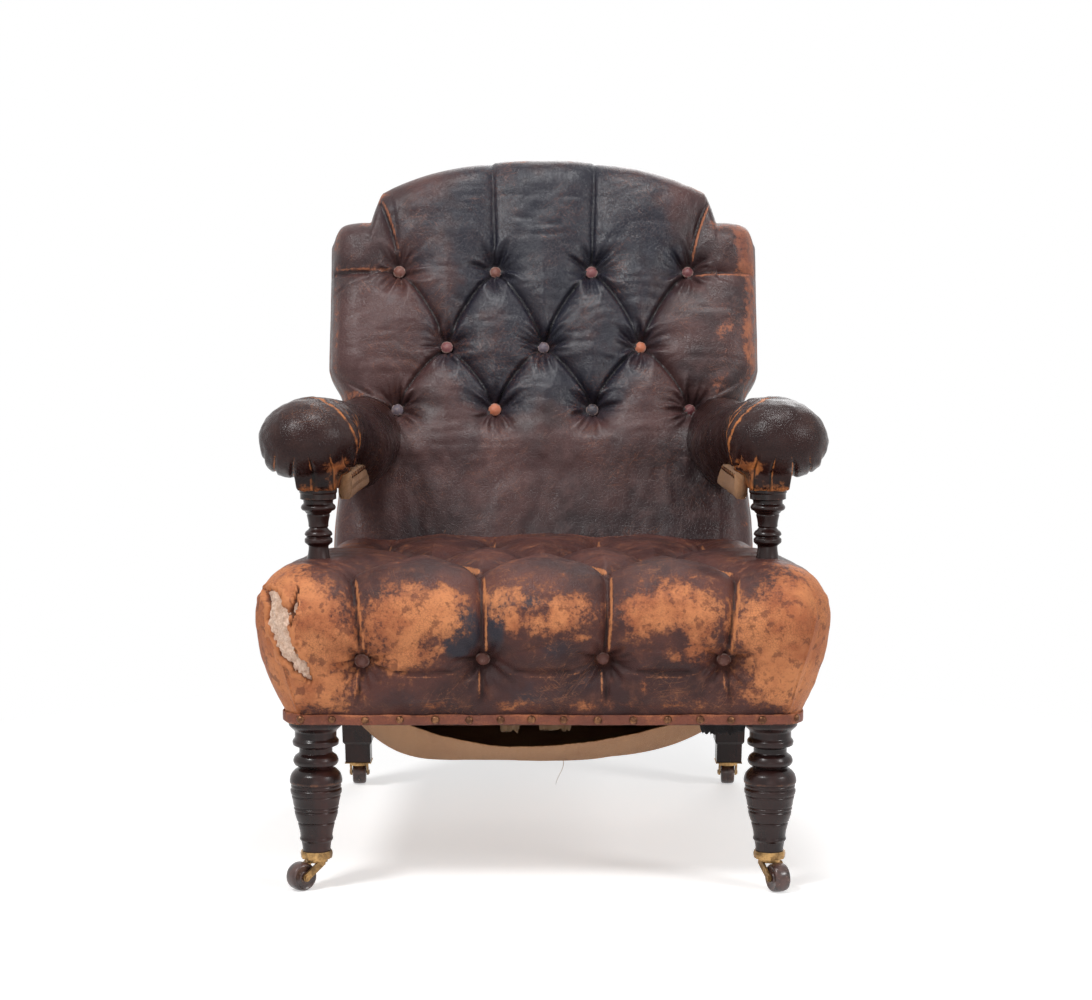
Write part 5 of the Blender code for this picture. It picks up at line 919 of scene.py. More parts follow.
def makeBack():
    columns = spacing([(-1.0, -0.86, 0.0065), (-0.86, 0.86, 0.0070), (0.86, 1.0, 0.0065)])
    rows = spacing([(0.0, 0.20, 0.014), (0.20, 1.0, 0.0045)])
    t, w = np.meshgrid(columns, rows)
    top = crestTop(t * back["ear"])
    s = mix(back["bottom"], top, w)
    x = t * backHalf(s)
    bulge = roundOver((1 - np.abs(t)) * back["ear"] / back["round"]) * roundOver((top - s) / back["round"])
    n = -mix(back["rim"], back["thick"], bulge)
    height, crease, rubbed, near = backRelief(x, s)
    lowFade = ease((s - back["rows"][2] + 0.10) / 0.06)
    topFade = ease((top - s + 0.006) / 0.026)
    fade = lowFade * mix(0.35, 1.0, topFade)
    sideFade = mix(0.30, 1.0, ease((1 - np.abs(t)) * back["ear"] / 0.016))
    slack = 0.0024 * fractal(stack(x, s * 0.5, 0), 22, 3, 51) + 0.0010 * noise(stack(x, s, 0), 80, 52)
    relief = height * fade * sideFade + slack * (1 - 0.75 * lowFade)
    face = backPoint(x, n - relief, s)
    ridge = ease((height + 0.003) / 0.013) * lowFade
    worn = patches(x, s, backWornSpots)
    rimNear = np.minimum((1 - np.abs(t)) * back["ear"], top - s)
    worn = worn + 0.16 * bell(rimNear - 0.010, 0.012) + 0.08 * (1 - lowFade)
    black = patches(x, s, backBlackSpots) * (0.5 + 0.5 * (1 - ridge)) + 0.10 * ridge * lowFade
    outer = ease((np.abs(x) - 0.195) / 0.03) * ease((s - 0.30) / 0.03)
    edge = rubbed * fade * (0.42 + 0.50 * outer)
    # Painted shade: the recesses between the puffs, the crease lines and the button dimples are darkened.
    shade = np.clip(-(height + 0.007) / 0.020, 0, 1) * 0.6
    creaseShade = np.maximum(np.maximum(crease * 0.9, shade) * fade, near * 0.9)

    verts = [face.reshape(-1, 3)]
    count2, count1 = t.shape
    faces = gridFaces(count2, count1)
    previous = [i * count1 + j for i, j in rimOf(count2, count1)]
    rimX, rimS, rimN, rimT, rimW = (grid.ravel()[previous] for grid in (x, s, n - relief, t, w))
    outX = np.where(np.abs(rimT) == 1.0, np.sign(rimX), 0.0)
    outS = np.where(rimW == 1.0, 1.0, np.where(rimW == 0.0, -1.0, 0.0))
    scale = np.maximum(np.hypot(outX, outS), 1.0)
    start = count1 * count2
    size = len(previous)
    extra = {"worn": [], "black": [], "edge": [], "creaseShade": []}
    levels = list(np.linspace(0.06, 1.0, 12)) + [1.0, 0.98]
    for k, share in enumerate(levels):
        swell = 0.0030 * math.sin(math.pi * share) if k < 12 else -0.0025
        level = mix(rimN, back["rear"], share)
        wave = 0.0012 * fractal(stack(rimX, rimS, level), 30, 2, 61) * math.sin(math.pi * share)
        welt = 0.0016 * math.exp(-((share - 0.12) / 0.07) ** 2) * np.abs(np.maximum(outX ** 2, outS))
        shift = swell + wave + welt
        verts.append(backPoint(rimX + shift * outX / scale, level, rimS + shift * np.maximum(outS, 0) / scale))
        current = list(range(start, start + size))
        faces += ringFaces(previous, current)
        previous = current
        start += size
        extra["worn"].append(np.full(size, 0.42 * bell(share - 0.12, 0.10) + 0.12))
        extra["black"].append(np.full(size, 0.15))
        extra["edge"].append(np.zeros(size))
        # Painted shade: a dark band along the side wall just behind the welt.
        extra["creaseShade"].append(np.full(size, 0.5 * math.exp(-((share - 0.22) / 0.05) ** 2)))
    faces.append(previous)
    attributes = {}
    for key, values in (("worn", worn), ("black", black), ("edge", edge), ("creaseShade", creaseShade)):
        attributes[key] = np.concatenate([values.ravel()] + extra[key])
    item = addPiece("backLeather", np.concatenate(verts), faces, backLeather, chair, "dark_leather", "back_cover",
                    attributes=attributes)


print("back leather")
makeBack()


# Arms

arm = {"bulbX": 0.286, "bulbZ": 0.5388, "bulbWide": 0.1206, "bulbTall": 0.0974, "reach": 0.055,
       "rearX": 0.2555, "rearZ": 0.510, "rearWide": 0.104, "rearTall": 0.118, "front": -0.235,
       "railBottom": 0.480, "railHalf": 0.0225, "gather": 0.0205, "around": 216,
       "dome": 40, "stations": ((0.0, 0.30, 0.0032), (0.30, 1.0, 0.014))}


def armSection(share):
    toRear = ease((share - 0.22) / 0.45)
    waist = 1 - 0.06 * bell(share - 0.30, 0.10)
    x = mix(arm["bulbX"], arm["rearX"], toRear)
    z = mix(arm["bulbZ"], arm["rearZ"], toRear)
    wide = mix(arm["bulbWide"], arm["rearWide"], toRear) / 2 * waist
    tall = mix(arm["bulbTall"], arm["rearTall"], toRear) / 2 * waist
    return x, z, wide, tall


def armRear(z):
    level = back["thick"]
    s = (z - back["footZ"] - level * math.sin(back["recline"])) / math.cos(back["recline"])
    return float(backPoint(0.0, -back["thick"] - 0.009, s)[1])


def makeArm(side, name):
    rear = armRear(arm["rearZ"]) + 0.008
    start = arm["front"]
    dome = np.linspace(0.012, 1.0, arm["dome"], endpoint=False) * np.pi / 2
    places = [(start - arm["reach"] * math.cos(a), math.sin(a), 0.0) for a in dome]
    places += [(mix(start, rear, share), 1.0, share) for share in spacing(arm["stations"])]
    places.append((rear, 0.0001, 1.0))
    y, grow, share = np.array(places).T[:, :, None]
    angle = np.linspace(0, 2 * np.pi, arm["around"], endpoint=False)[None, :]
    cx, cz, wide, tall = armSection(share)
    down = ease((-grow * np.sin(angle) - 0.05) / 0.60)
    inner = ease((-np.cos(angle) + 0.25) / 0.9)
    near = bell(share, 0.16)
    across = wide * grow * np.cos(angle) / arm["gather"]
    wander = np.sin(np.pi * (across + 0.10 * np.sin(3.1 * across + side) + 0.35))
    gather = 1 - bell(wander, 0.30)
    gathered = down * near
    flute = ((gather - 0.80) * 0.0034 - 0.0010) * gathered
    # Seam arc of the scroll and the pleats drawn from it round the inner side
    path = share * 0.34 - (1 - grow) * 0.08
    seamAt = 0.020 + 0.020 * np.cos(angle) - 0.012 * np.sin(angle)
    upperInner = ease((-np.cos(angle) + 0.55) / 0.7)
    seam = bell(path - seamAt, 0.0045) * upperInner
    arcs = np.zeros_like(seam)
    for k, (shift, depth) in enumerate(((0.026, 1.0), (0.046, 0.8), (0.072, 0.7), (0.105, 0.45))):
        bend = shift * (1 + 0.35 * np.sin(angle + 0.6 * k))
        arcs = arcs + depth * bell(path - seamAt - bend, 0.0055) * inner * ease((0.6 - np.sin(angle)) / 0.9)
    puff = 0.0016 * np.cos(np.clip((path - seamAt) / 0.024, 0, 8) * 2 * np.pi + 1.0)
    puff = puff * inner * bell(path - 0.07, 0.06)
    # wide and tall are the solid's, so the leather swells and sinks about them
    base = stack(side * (cx + wide * grow * np.cos(angle)), y + 0 * angle, cz + tall * grow * np.sin(angle))
    slack = 0.0022 * fractal(base, 30, 3, 71 + side) + 0.0008 * noise(base, 110, 73)
    sag = -0.004 * ease(np.sin(angle)) * bell(share - 0.55, 0.20)
    shift = flute + 0.0034 * seam - 0.0062 * arcs + puff + slack * np.minimum(grow * 3, 1) + sag
    reachX = np.maximum((wide + shift) * grow, 0.0)
    reachZ = np.maximum((tall + shift) * grow, 0.0)
    boxy = 1 - 0.24 * down * (1 - ease((share - 0.10) / 0.25))
    lift = reachZ * np.sign(np.sin(angle)) * np.abs(np.sin(angle)) ** boxy
    lean = (lift + cz - arm["rearZ"]) * math.tan(back["recline"]) * share ** 2
    x = cx + reachX * np.sign(np.cos(angle)) * np.abs(np.cos(angle)) ** boxy
    z = cz + lift
    # Round the arm rail the leather is drawn down and tacked under it
    railX = mix(0.275, 0.2605, share)
    covers = ease((arm["railHalf"] + 0.004 - np.abs(x - railX)) / 0.004) * ease((grow - 0.84) / 0.06)
    covers = covers * (np.sin(angle) < -0.2)
    tatter = 0.0016 * noise(stack(x, y + 0 * x, 0.0), 190, 75)
    z = mix(z, np.minimum(z, arm["railBottom"] - 0.0022 + tatter), covers)
    points = stack(side * x, y + lean, z)
    worn = 0.66 * (bell(path - seamAt + 0.0031, 0.0012) + bell(path - seamAt - 0.0031, 0.0012)) * upperInner
    for shift, amount in ((0.009, 0.42), (0.034, 0.50), (0.054, 0.42), (0.080, 0.36)):
        worn = worn + 1.25 * amount * bell(path - seamAt - shift * (1 + 0.35 * np.sin(angle)), 0.0018) * inner
    spot = np.hypot((points[..., 1] + 0.262) / 0.020, (points[..., 2] - 0.508) / 0.012)
    worn = worn + 0.80 * np.exp(-spot ** 2) * ease((-np.cos(angle) - 0.2) / 0.3)
    worn = worn + 0.62 * covers + 0.80 * bell(wander - 0.22, 0.13) * gathered
    black = 0.35 * ease(np.sin(angle) - 0.2) * bell(share - 0.5, 0.3) + 0.2 * inner
    # Painted shade: the seam arcs, the hollows between the gathers and the tuck under the rail are darkened.
    creaseShade = np.clip(arcs, 0, 1) + 0.8 * ease((0.40 - gather) / 0.3) * gathered + 2.4 * covers * (1 - covers)
    edge = 0.9 * bell(arcs - 0.5, 0.22) * inner + 0.35 * seam
    attributes = {"worn": worn, "black": black, "edge": edge, "creaseShade": np.clip(creaseShade, 0, 1)}
    item = addPiece("armLeather_" + name, points, tubeFaces(*x.shape), armLeather, chair, "dark_leather",
                    "arm_cover_" + name, attributes=attributes)


print("arms")
for side, name in sides:
    makeArm(side, name)


# Turned, swept and scattered shapes

def curveThrough(places, values, at):
    # Smooth curve through points that never swings past them.
    places, values = np.asarray(places, float), np.asarray(values, float)
    step = np.diff(places)
    slope = np.diff(values) / step
    same = slope[1:] * slope[:-1] > 0
    inner = np.where(same, 2 * slope[1:] * slope[:-1] / np.where(same, slope[1:] + slope[:-1], 1), 0)
    slopes = np.concatenate([[slope[0]], inner, [slope[-1]]])
    k = np.clip(np.searchsorted(places, at) - 1, 0, len(step) - 1)
    f = (at - places[k]) / step[k]
    a, b = values[k], values[k + 1]
    return (a * (1 + 2 * f) * (1 - f) ** 2 + b * f * f * (3 - 2 * f)
            + step[k] * (slopes[k] * f * (1 - f) ** 2 - slopes[k + 1] * f * f * (1 - f)))


def turned(rings, around, centre=(0.0, 0.0)):
    # Closed solid of revolution from (radius, height) rings.
    rings = np.asarray(rings, float)
    angle = np.linspace(0, 2 * np.pi, around, endpoint=False)[None, :]
    x, y = rings[:, :1] * np.cos(angle), rings[:, :1] * np.sin(angle)
    points = stack(centre[0] + x, centre[1] + y, rings[:, 1:2])
    return points.reshape(-1, 3), tubeFaces(len(rings), around)


def sweep(path, across, up, section, grow=1.0):
    # Closed strip: a section (across, up) carried along a path; grow scales it station by station.
    path, section = np.asarray(path, float), np.asarray(section, float)
    grow = np.broadcast_to(np.asarray(grow, float).reshape(-1, 1, 1), (len(path), 1, 1))
    points = (path[:, None, :] + across[:, None, :] * section[None, :, :1] * grow
              + up[:, None, :] * section[None, :, 1:] * grow)
    return points.reshape(-1, 3), tubeFaces(len(path), len(section))


def roundSection(half, thick, count=16, square=0.4):
    angle = np.linspace(0, 2 * np.pi, count, endpoint=False)
    x, y = np.cos(angle), np.sin(angle)
    x = half * np.sign(x) * np.abs(x) ** square
    y = thick / 2 * np.sign(y) * np.abs(y) ** 0.7
    return np.stack([x, y], axis=-1)


def together(parts):
    # Vertices and faces of several closed solids as one list.
    verts, faces, start = [], [], 0
    for points, quads in parts:
        verts.append(points)
        faces += [[index + start for index in face] for face in quads]
        start += len(points)
    return np.concatenate(verts), faces


def evenly(path, pitch):
    # Points shared evenly along a path, with the length between them close to the pitch.
    path = np.asarray(path, float)
    run = np.concatenate([[0], np.cumsum(np.linalg.norm(np.diff(path, axis=0), axis=1))])
    count = max(int(round(run[-1] / pitch)), 2)
    at = np.linspace(0, run[-1], count + 1)
    return np.stack([np.interp(at, run, path[:, axis]) for axis in range(3)], axis=-1)


def studTree():
    tree = bpy.data.node_groups.new("studsOnPoints", "GeometryNodeTree")
    for name, kind in (("Geometry", "Geometry"), ("Shape", "Object"), ("Size", "Float"), ("Spread", "Float"),
                       ("Seed", "Int"), ("Material", "Material")):
        tree.interface.new_socket(name=name, in_out="INPUT", socket_type="NodeSocket" + kind)
    tree.interface.new_socket(name="Geometry", in_out="OUTPUT", socket_type="NodeSocketGeometry")
    make = tree.nodes.new
    given, result = make("NodeGroupInput"), make("NodeGroupOutput")
    shape = make("GeometryNodeObjectInfo")
    shape.inputs["As Instance"].default_value = True
    turn = make("GeometryNodeInputNamedAttribute")
    turn.data_type = "FLOAT_VECTOR"
    turn.inputs["Name"].default_value = "turn"
    low, high = make("ShaderNodeMath"), make("ShaderNodeMath")
    low.operation, high.operation = "SUBTRACT", "ADD"
    vary = make("FunctionNodeRandomValue")
    vary.data_type = "FLOAT"
    twist = make("FunctionNodeRandomValue")
    twist.data_type = "FLOAT_VECTOR"
    twist.inputs[0].default_value = (-0.06, -0.06, -math.pi)
    twist.inputs[1].default_value = (0.06, 0.06, math.pi)
    put = make("GeometryNodeInstanceOnPoints")
    rotate = make("GeometryNodeRotateInstances")
    real = make("GeometryNodeRealizeInstances")
    dress = make("GeometryNodeSetMaterial")
    size = make("ShaderNodeMath")
    size.operation = "MULTIPLY"
    for end in (low, high):
        end.inputs[0].default_value = 1.0
    for start, output, end, socket in (
            (given, "Spread", low, 1), (given, "Spread", high, 1), (low, 0, vary, 2), (high, 0, vary, 3),
            (given, "Seed", vary, "Seed"), (given, "Seed", twist, "Seed"), (given, "Size", size, 0), (vary, 1, size, 1),
            (given, "Shape", shape, "Object"), (given, "Geometry", put, "Points"),
            (shape, "Geometry", put, "Instance"), (turn, "Attribute", put, "Rotation"), (size, 0, put, "Scale"),
            (put, "Instances", rotate, "Instances"), (twist, 0, rotate, "Rotation"),
            (rotate, "Instances", real, "Geometry"), (real, "Geometry", dress, "Geometry"),
            (given, "Material", dress, "Material"), (dress, "Geometry", result, "Geometry")):
        tree.links.new(start.outputs[output], end.inputs[socket])
    return tree


def scatter(name, points, outward, shape, size, spread, seed, material, tints=None):
    # One plain mesh of studs, each standing on its point and facing outward.
    turns = [Vector(way).to_track_quat("Z", "Y").to_euler() for way in outward]
    mesh = bpy.data.meshes.new(name + "Places")
    mesh.from_pydata((np.asarray(points) + (0, shiftY, 0)).tolist(), [], [])
    data = mesh.attributes.new("turn", "FLOAT_VECTOR", "POINT")
    data.data.foreach_set("vector", np.array(turns, dtype=np.float32).ravel())
    data = mesh.attributes.new("tint", "FLOAT", "POINT")
    data.data.foreach_set("value", np.array(tints or [0.0] * len(points), dtype=np.float32))
    places = bpy.data.objects.new(name + "Places", mesh)
    bpy.context.scene.collection.objects.link(places)
    verts, faces = turned(shape, 12)
    rim = np.repeat([1.0 if ring[0] > 0.9 and ring[1] < 0.1 else 0.0 for ring in shape], 12)
    model = makeMesh(name + "Shape", verts - (0, shiftY, 0), faces, material, {"rim": rim})
    tidyNormals(model)
    modifier = places.modifiers.new("studs", "NODES")
    modifier.node_group = studs
    inputs = {"Shape": model, "Size": size, "Spread": spread, "Seed": seed, "Material": material}
    for socket in studs.interface.items_tree:
        if socket.in_out == "INPUT" and socket.name in inputs:
            modifier[socket.identifier] = inputs[socket.name]
    bpy.context.view_layer.update()
    graph = bpy.context.evaluated_depsgraph_get()
    made = bpy.data.meshes.new_from_object(places.evaluated_get(graph), preserve_all_data_layers=True,
                                           depsgraph=graph)
    for used in (places, model):
        bpy.data.objects.remove(used, do_unlink=True)
    made.name = name
    item = bpy.data.objects.new(name, made)
    bpy.context.scene.collection.objects.link(item)
    made.shade_smooth()
    return item


studs = studTree()
buttonShape = ((0.50, -0.55), (1.02, -0.30), (1.10, -0.05), (0.97, 0.08), (0.86, 0.13), (0.62, 0.36),
               (0.22, 0.46))
nailShape = ((0.62, -0.50), (1.00, -0.02), (0.96, 0.14), (0.78, 0.38), (0.45, 0.56), (0.15, 0.62))


# Buttons

button = {"radius": 0.0082, "spread": 0.05, "lift": 0.0048}
# From brown at 0 through rose, grey, orange and dark red to slate at 1, row by row as the chair has them
backTints = (0.0, 0.0, 0.2, 0.8, 0.2, 0.4, 0.6, 0.4, 0.6, 1.0, 0.8)


def makeButtons():
    x, v = np.array(seatButtons).T
    out = seatOut(x, v)
    heads = seatPoint(x, v) + out * (seatRelief(x, v)[0] + button["lift"])[:, None]
    item = scatter("seatButtons", heads, out, buttonShape, button["radius"], button["spread"], 3, buttonSkin)
    place(item, chair, "tan_leather")
    x, s = np.array(backButtons).T
    ahead = backPoint(0, -1, 0) - backPoint(0, 0, 0)
    heads = backPoint(x, -back["thick"] - backRelief(x, s)[0] - button["lift"], s)
    item = scatter("backButtons", heads, [ahead] * len(x), buttonShape, button["radius"], button["spread"], 4,
                   buttonSkin, backTints)
    place(item, chair, "dark_leather")


print("buttons")
makeButtons()


# Torn corner

def waddingStrip(line, widths, seed):
    line = np.array(line)
    run = np.linspace(0, len(line) - 1, 130)
    path = np.stack([curveThrough(range(len(line)), line[:, axis], run) for axis in range(3)], axis=-1)
    grow = np.interp(run, range(len(line)), widths)
    centre = np.array([-seat["halfFront"] + 0.03, seat["frontV"] + 0.03, 0.30])
    out = (path - centre) * (1, 1, 0.15)
    out /= np.linalg.norm(out, axis=1, keepdims=True)
    along = np.gradient(path, axis=0)
    across = np.cross(along, out)
    across /= np.linalg.norm(across, axis=1, keepdims=True)
    angle = np.linspace(0, 2 * np.pi, 56, endpoint=False)[None, :]
    full = np.minimum(grow / 0.004, 1)[:, None]
    wide = (grow * 1.18 + 0.0004)[:, None] * np.cos(angle)
    tall = 0.0052 * np.sin(angle) * full - 0.0012
    points = path[:, None] + across[:, None] * wide[..., None] + out[:, None] * tall[..., None]
    lump = 0.0034 * fractal(points, 110, 3, seed) + 0.0022 * noise(points * (1, 1, 0.4), 420, seed + 1)
    side = 0.0018 * noise(points, 260, seed + 2) * full
    points = points + out[:, None] * (lump * full)[..., None] + across[:, None] * side[..., None]
    return points.reshape(-1, 3), tubeFaces(130, 56)


def makeWadding():
    verts, faces = together([waddingStrip(tear["line"], tear["widths"], 91),
                             waddingStrip(tear["second"], tear["secondWidths"], 95)])
    item = makeMesh("tornWadding", verts, faces, cottonWadding)
    tidyNormals(item)
    place(item, chair, "wadding", "torn_wadding")


print("torn wadding")
makeWadding()


# Turned legs and arm posts

legFoot, legTop, postFoot, postTop = 0.0385, 0.2047, 0.2753, 0.4797
legShares = ((0, .53), (.056, .53), (.112, .572), (.133, .636), (.152, .61), (.244, .70), (.324, .82), (.413, .89),
             (.493, .98), (.518, .955), (.560, 1), (.605, .95), (.640, .80), (.661, .65), (.680, .80), (.708, .86),
             (.740, .80), (.770, .63), (.800, .63), (.826, .86), (.850, .88), (.882, .79), (.918, .79), (.975, 1.02),
             (1, 1.02))
legRadius, legGrooves = 0.0317, (.1276, .1228, .1145, .1002, .0955, .0812)
# Waist is 1 here: foot, waist, beads, step and collar of the post that carries the arm
postShares = ((0, 1.64), (.30, 1.64), (.33, 1.48), (.37, 1.16), (.50, 1.33), (.645, 1.0), (.672, 1.40), (.688, 1.40),
              (.702, 1.20), (.716, 1.40), (.732, 1.30), (.750, 1.0), (.772, 1.0), (.822, 1.13), (.856, 1.36),
              (.866, 1.67), (.880, 1.75), (.894, 1.64), (.904, 1.48), (.924, 1.52), (.930, 1.81), (.963, 1.81),
              (.970, 1.90), (1, 1.90))
postRadius, postX, postGrooves = 0.0122, 0.27521, (.330, .344, .356, .382, .430, .447)
legBlock, rearLegTop = 0.050, 0.275


def turning(shares, radius, low, high, grooves, step):
    height = np.linspace(low, high, int((high - low) / step) + 1)
    share = (height - low) / (high - low)
    size = radius * curveThrough([s for s, _ in shares], [r for _, r in shares], share)
    for groove in grooves:
        size = size - 0.0012 * bell(height - groove, 0.0010)
    return np.stack([size, height], axis=-1)


def block(low, high, bevel):
    # Closed box with bevelled edges.
    bm = bmesh.new()
    bmesh.ops.create_cube(bm, size=1.0)
    low, high = np.array(low), np.array(high)
    for vert in bm.verts:
        vert.co = Vector((low + high) / 2 + np.array(vert.co) * (high - low))
    bmesh.ops.bevel(bm, geom=bm.edges[:], offset=bevel, segments=2, affect="EDGES", profile=0.6)
    bm.verts.ensure_lookup_table()
    points = np.array([vert.co[:] for vert in bm.verts])
    faces = [[vert.index for vert in face.verts] for face in bm.faces]
    bm.free()
    return points, faces


def makeTurnings():
    for side, name in sides:
        x = side * 0.2735
        leg = turned(turning(legShares, legRadius, legFoot, legTop, legGrooves, 0.00062), 60, (x, -0.300))
        half = legBlock / 2
        top = block((x - half, -0.300 - half, legTop - 0.001), (x + half, -0.300 + half, rearLegTop), 0.0012)
        verts, faces = together([leg, top])
        rubbed = 0.55 * bell(verts[:, 2] - 0.1305, 0.0035) + 0.45 * bell(verts[:, 2] - 0.2020, 0.003)
        rubbed = rubbed + 0.35 * bell(verts[:, 2] - 0.062, 0.004)
        item = makeMesh("frontLegTurned_" + name, verts, faces, mahogany, {"worn": rubbed}, sharp=50)
        tidyNormals(item)
        place(item, chair, "mahogany", "front_leg_" + name)
        verts, faces = turned(turning(postShares, postRadius, postFoot, postTop, postGrooves, 0.00075), 48,
                              (side * postX, -0.225))
        rubbed = 0.5 * bell(verts[:, 2] - 0.4665, 0.003) + 0.4 * bell(verts[:, 2] - 0.416, 0.003)
        item = makeMesh("armPostTurned_" + name, verts, faces, mahogany, {"worn": rubbed}, sharp=50)
        tidyNormals(item)
        place(item, chair, "mahogany", "arm_post_" + name)


print("turned wood")
makeTurnings()


# Caster wheels

wheel = {"radius": 0.0172, "width": 0.0190, "trail": 0.0220}
wheelRings = ((0.0026, -0.50), (0.0060, -0.50), (0.0072, -0.43), (0.0118, -0.44), (0.0140, -0.50), (0.0156, -0.47),
              (0.0164, -0.40), (0.0170, -0.22), (0.0172, 0.0))


def makeWheels():
    rings = [(r, w * wheel["width"]) for r, w in wheelRings]
    rings += [(r, -w) for r, w in rings[-2::-1]]
    for name, (x, y, heading) in corners.items():
        trail = wheel["trail"]
        centre = np.array([x + trail * math.cos(heading), y + trail * math.sin(heading), wheel["radius"]])
        points, faces = turned(rings, 56)
        axle = np.array([-math.sin(heading), math.cos(heading), 0.0])
        ahead = np.array([math.cos(heading), math.sin(heading), 0.0])
        points = centre + points[:, :1] * ahead + points[:, 1:2] * np.array([0, 0, 1.0]) + points[:, 2:] * axle
        item = makeMesh("wheelTurned_" + name, points, faces, wheelFinish, sharp=45)
        tidyNormals(item)
        place(item, "wheel_" + name, "wheel_brown", "caster_wheel_" + name)


print("wheels")
makeWheels()


# Banding and nails

band = {"low": 0.2058, "height": 0.0120, "thick": 0.0017, "gap": 0.0010, "nail": 0.0050, "pitch": 0.0393,
        "firstX": 0.0077, "frontNails": 16}


def hemLine():
    # Foot of the seat leather from the left rear round the front to the right rear.
    w = 0.965 * seat["wall"]
    v = np.linspace(seat["rearV"] + 0.004, seat["frontV"], 120)
    side = seatPoint(-(seatHalf(v) + w), v)
    angle = np.linspace(0, np.pi / 2, 30)[1:-1]
    size = 0.965 / np.maximum(np.cos(angle), np.sin(angle))
    corner = seatPoint(-(seat["halfFront"] + size * np.cos(angle) * seat["wall"]),
                       seat["frontV"] - size * np.sin(angle) * seat["wall"])
    x = np.linspace(-seat["halfFront"], 0, 90)
    front = seatPoint(x, np.full_like(x, seat["frontV"] - w))
    half = np.concatenate([side, corner, front])
    return np.concatenate([half, half[-2::-1] * (-1, 1, 1)])


def makeBanding():
    path = evenly(hemLine(), 0.004)
    along = np.gradient(path, axis=0)
    along[:, 2] = 0
    along /= np.linalg.norm(along, axis=1, keepdims=True)
    out = np.stack([along[:, 1], -along[:, 0], np.zeros(len(along))], axis=-1)
    if out[len(out) // 2, 1] > 0:
        out = -out
    out[:, 2] = 0
    run = np.arange(len(path)) * 0.004
    wave = 0.0007 * noise(stack(run, 0, 0), 30, 101) + 0.0004 * noise(stack(run, 0, 0), 110, 102)
    middle = path + out * (band["gap"] + band["thick"] / 2)
    middle[:, 2] = band["low"] + band["height"] / 2 + wave
    upward = np.tile((0.0, 0.0, 1.0), (len(path), 1))
    section = roundSection(band["height"] / 2, band["thick"], 14)
    verts, faces = sweep(middle, upward, out, section)
    worn = 0.30 + 0.35 * bell(verts[:, 2] - band["low"] - band["height"], 0.0025)
    worn = worn + 0.22 * noise(verts, 60, 103)
    item = makeMesh("bandingStrip", verts, faces, stripLeather, {
        "worn": worn, "black": 0 * worn, "edge": 0 * worn, "creaseShade": 0 * worn})
    tidyNormals(item)
    place(item, chair, "tan_leather", "leather_banding")
    places, ways = [], []
    for k in range(band["frontNails"]):
        x = (k - (band["frontNails"] - 1) / 2) * band["pitch"] + band["firstX"] + 0.0030 * math.sin(k * 5.3)
        near = int(np.argmin(np.abs(path[:, 0] - x) + 9 * np.abs(path[:, 1] - path[:, 1].min()) * (abs(x) < 0.27)
                             + (path[:, 1] > -0.26)))
        shift = (x - path[near, 0], 0, 0.0004 * math.sin(k * 3.1))
        places.append(middle[near] + out[near] * band["thick"] / 2 + shift)
        ways.append(out[near])
    for side in (-1, 1):
        for y in np.arange(-0.245, 0.205, band["pitch"]):
            near = int(np.argmin(np.abs(path[:, 1] - y) + (path[:, 0] * side < 0.2)))
            places.append(middle[near] + out[near] * band["thick"] / 2)
            ways.append(out[near])
    item = scatter("bandingNails", places, ways, nailShape, band["nail"], 0.05, 7, nailMetal)
    place(item, chair, "brass")


print("banding")
makeBanding()


# Bottom cloth

cloth = {"half": 0.238, "front": -0.262, "rear": 0.264, "top": 0.20185, "sag": 0.0655, "thick": 0.0012,
         "leftFullness": 6.0, "rightFullness": 3.0}


def makeThread(top):
    # A pulled thread that hangs from the lowest part of the cloth.
    share = np.linspace(0, 1, 26)
    sway = 0.0022 * np.sin(share * 5.2) - 0.006 * share ** 2
    path = top + stack(sway, 0.002 * np.sin(share * 3.0), -0.036 * share)
    across = np.tile((1.0, 0.0, 0.0), (26, 1))
    forward = np.tile((0.0, 1.0, 0.0), (26, 1))
    verts, faces = sweep(path, across, forward, roundSection(0.0004, 0.0008, 6, 1.0), mix(1.0, 0.5, share))
    thread = makeMesh("pulledThread", verts, faces, frayFibre)
    tidyNormals(thread)
    return place(thread, chair, "hessian")


def makeBottomCloth():
    columns, rows = 121, 110
    u, share = np.meshgrid(np.linspace(-1, 1, columns), np.linspace(0, 1, rows))
    across = 1 - np.abs(u) ** np.where(u < 0, cloth["leftFullness"], cloth["rightFullness"])
    frontEdge = 0.50 * np.clip(1 - (u / 0.74) ** 2, 0, 1) ** 0.8
    along = np.where(share < 0.16, mix(frontEdge, 1, np.sin(np.clip(share / 0.16, 0, 1) * np.pi / 2)),
                     1 - ease((share - 0.16) / 0.84))
    ragged = (0.004 * fractal(stack(u, 0, 0), 9, 4, 111) + 0.0025 * noise(stack(u, 0, 0), 70, 112)) * across
    y = mix(cloth["front"] - 0.012, cloth["rear"], share) + ragged * (1 - ease(share / 0.10))
    x = u * cloth["half"]
    drag = np.sin(u * 3.1 + share * 9.0) * 0.6 + np.sin(u * 7.3 - share * 14.0) * 0.4
    wrinkle = 0.0028 * drag + 0.0022 * fractal(stack(x, y * 0.5, 0), 18, 3, 113)
    z = cloth["top"] - cloth["sag"] * along * across + wrinkle * across * (1 - ease((share - 0.9) / 0.1)) * 0.9
    face = stack(x, y, np.minimum(z, cloth["top"]))
    width, length, area = flatSize(face)
    print("bottom cloth cut", round(width, 4), round(length, 4), round(area, 4))
    verts, faces = doubled(face, face - (0, 0, cloth["thick"]))
    item = makeMesh("bottomCloth", verts, faces, hessianCloth, uvs=np.tile(stack(x, y).reshape(-1, 2), (2, 1)))
    tidyNormals(item)
    place(item, chair, "hessian", "bottom_cloth")
    thread = makeThread(face[20, 66])


print("bottom cloth")
makeBottomCloth()


# Outside back

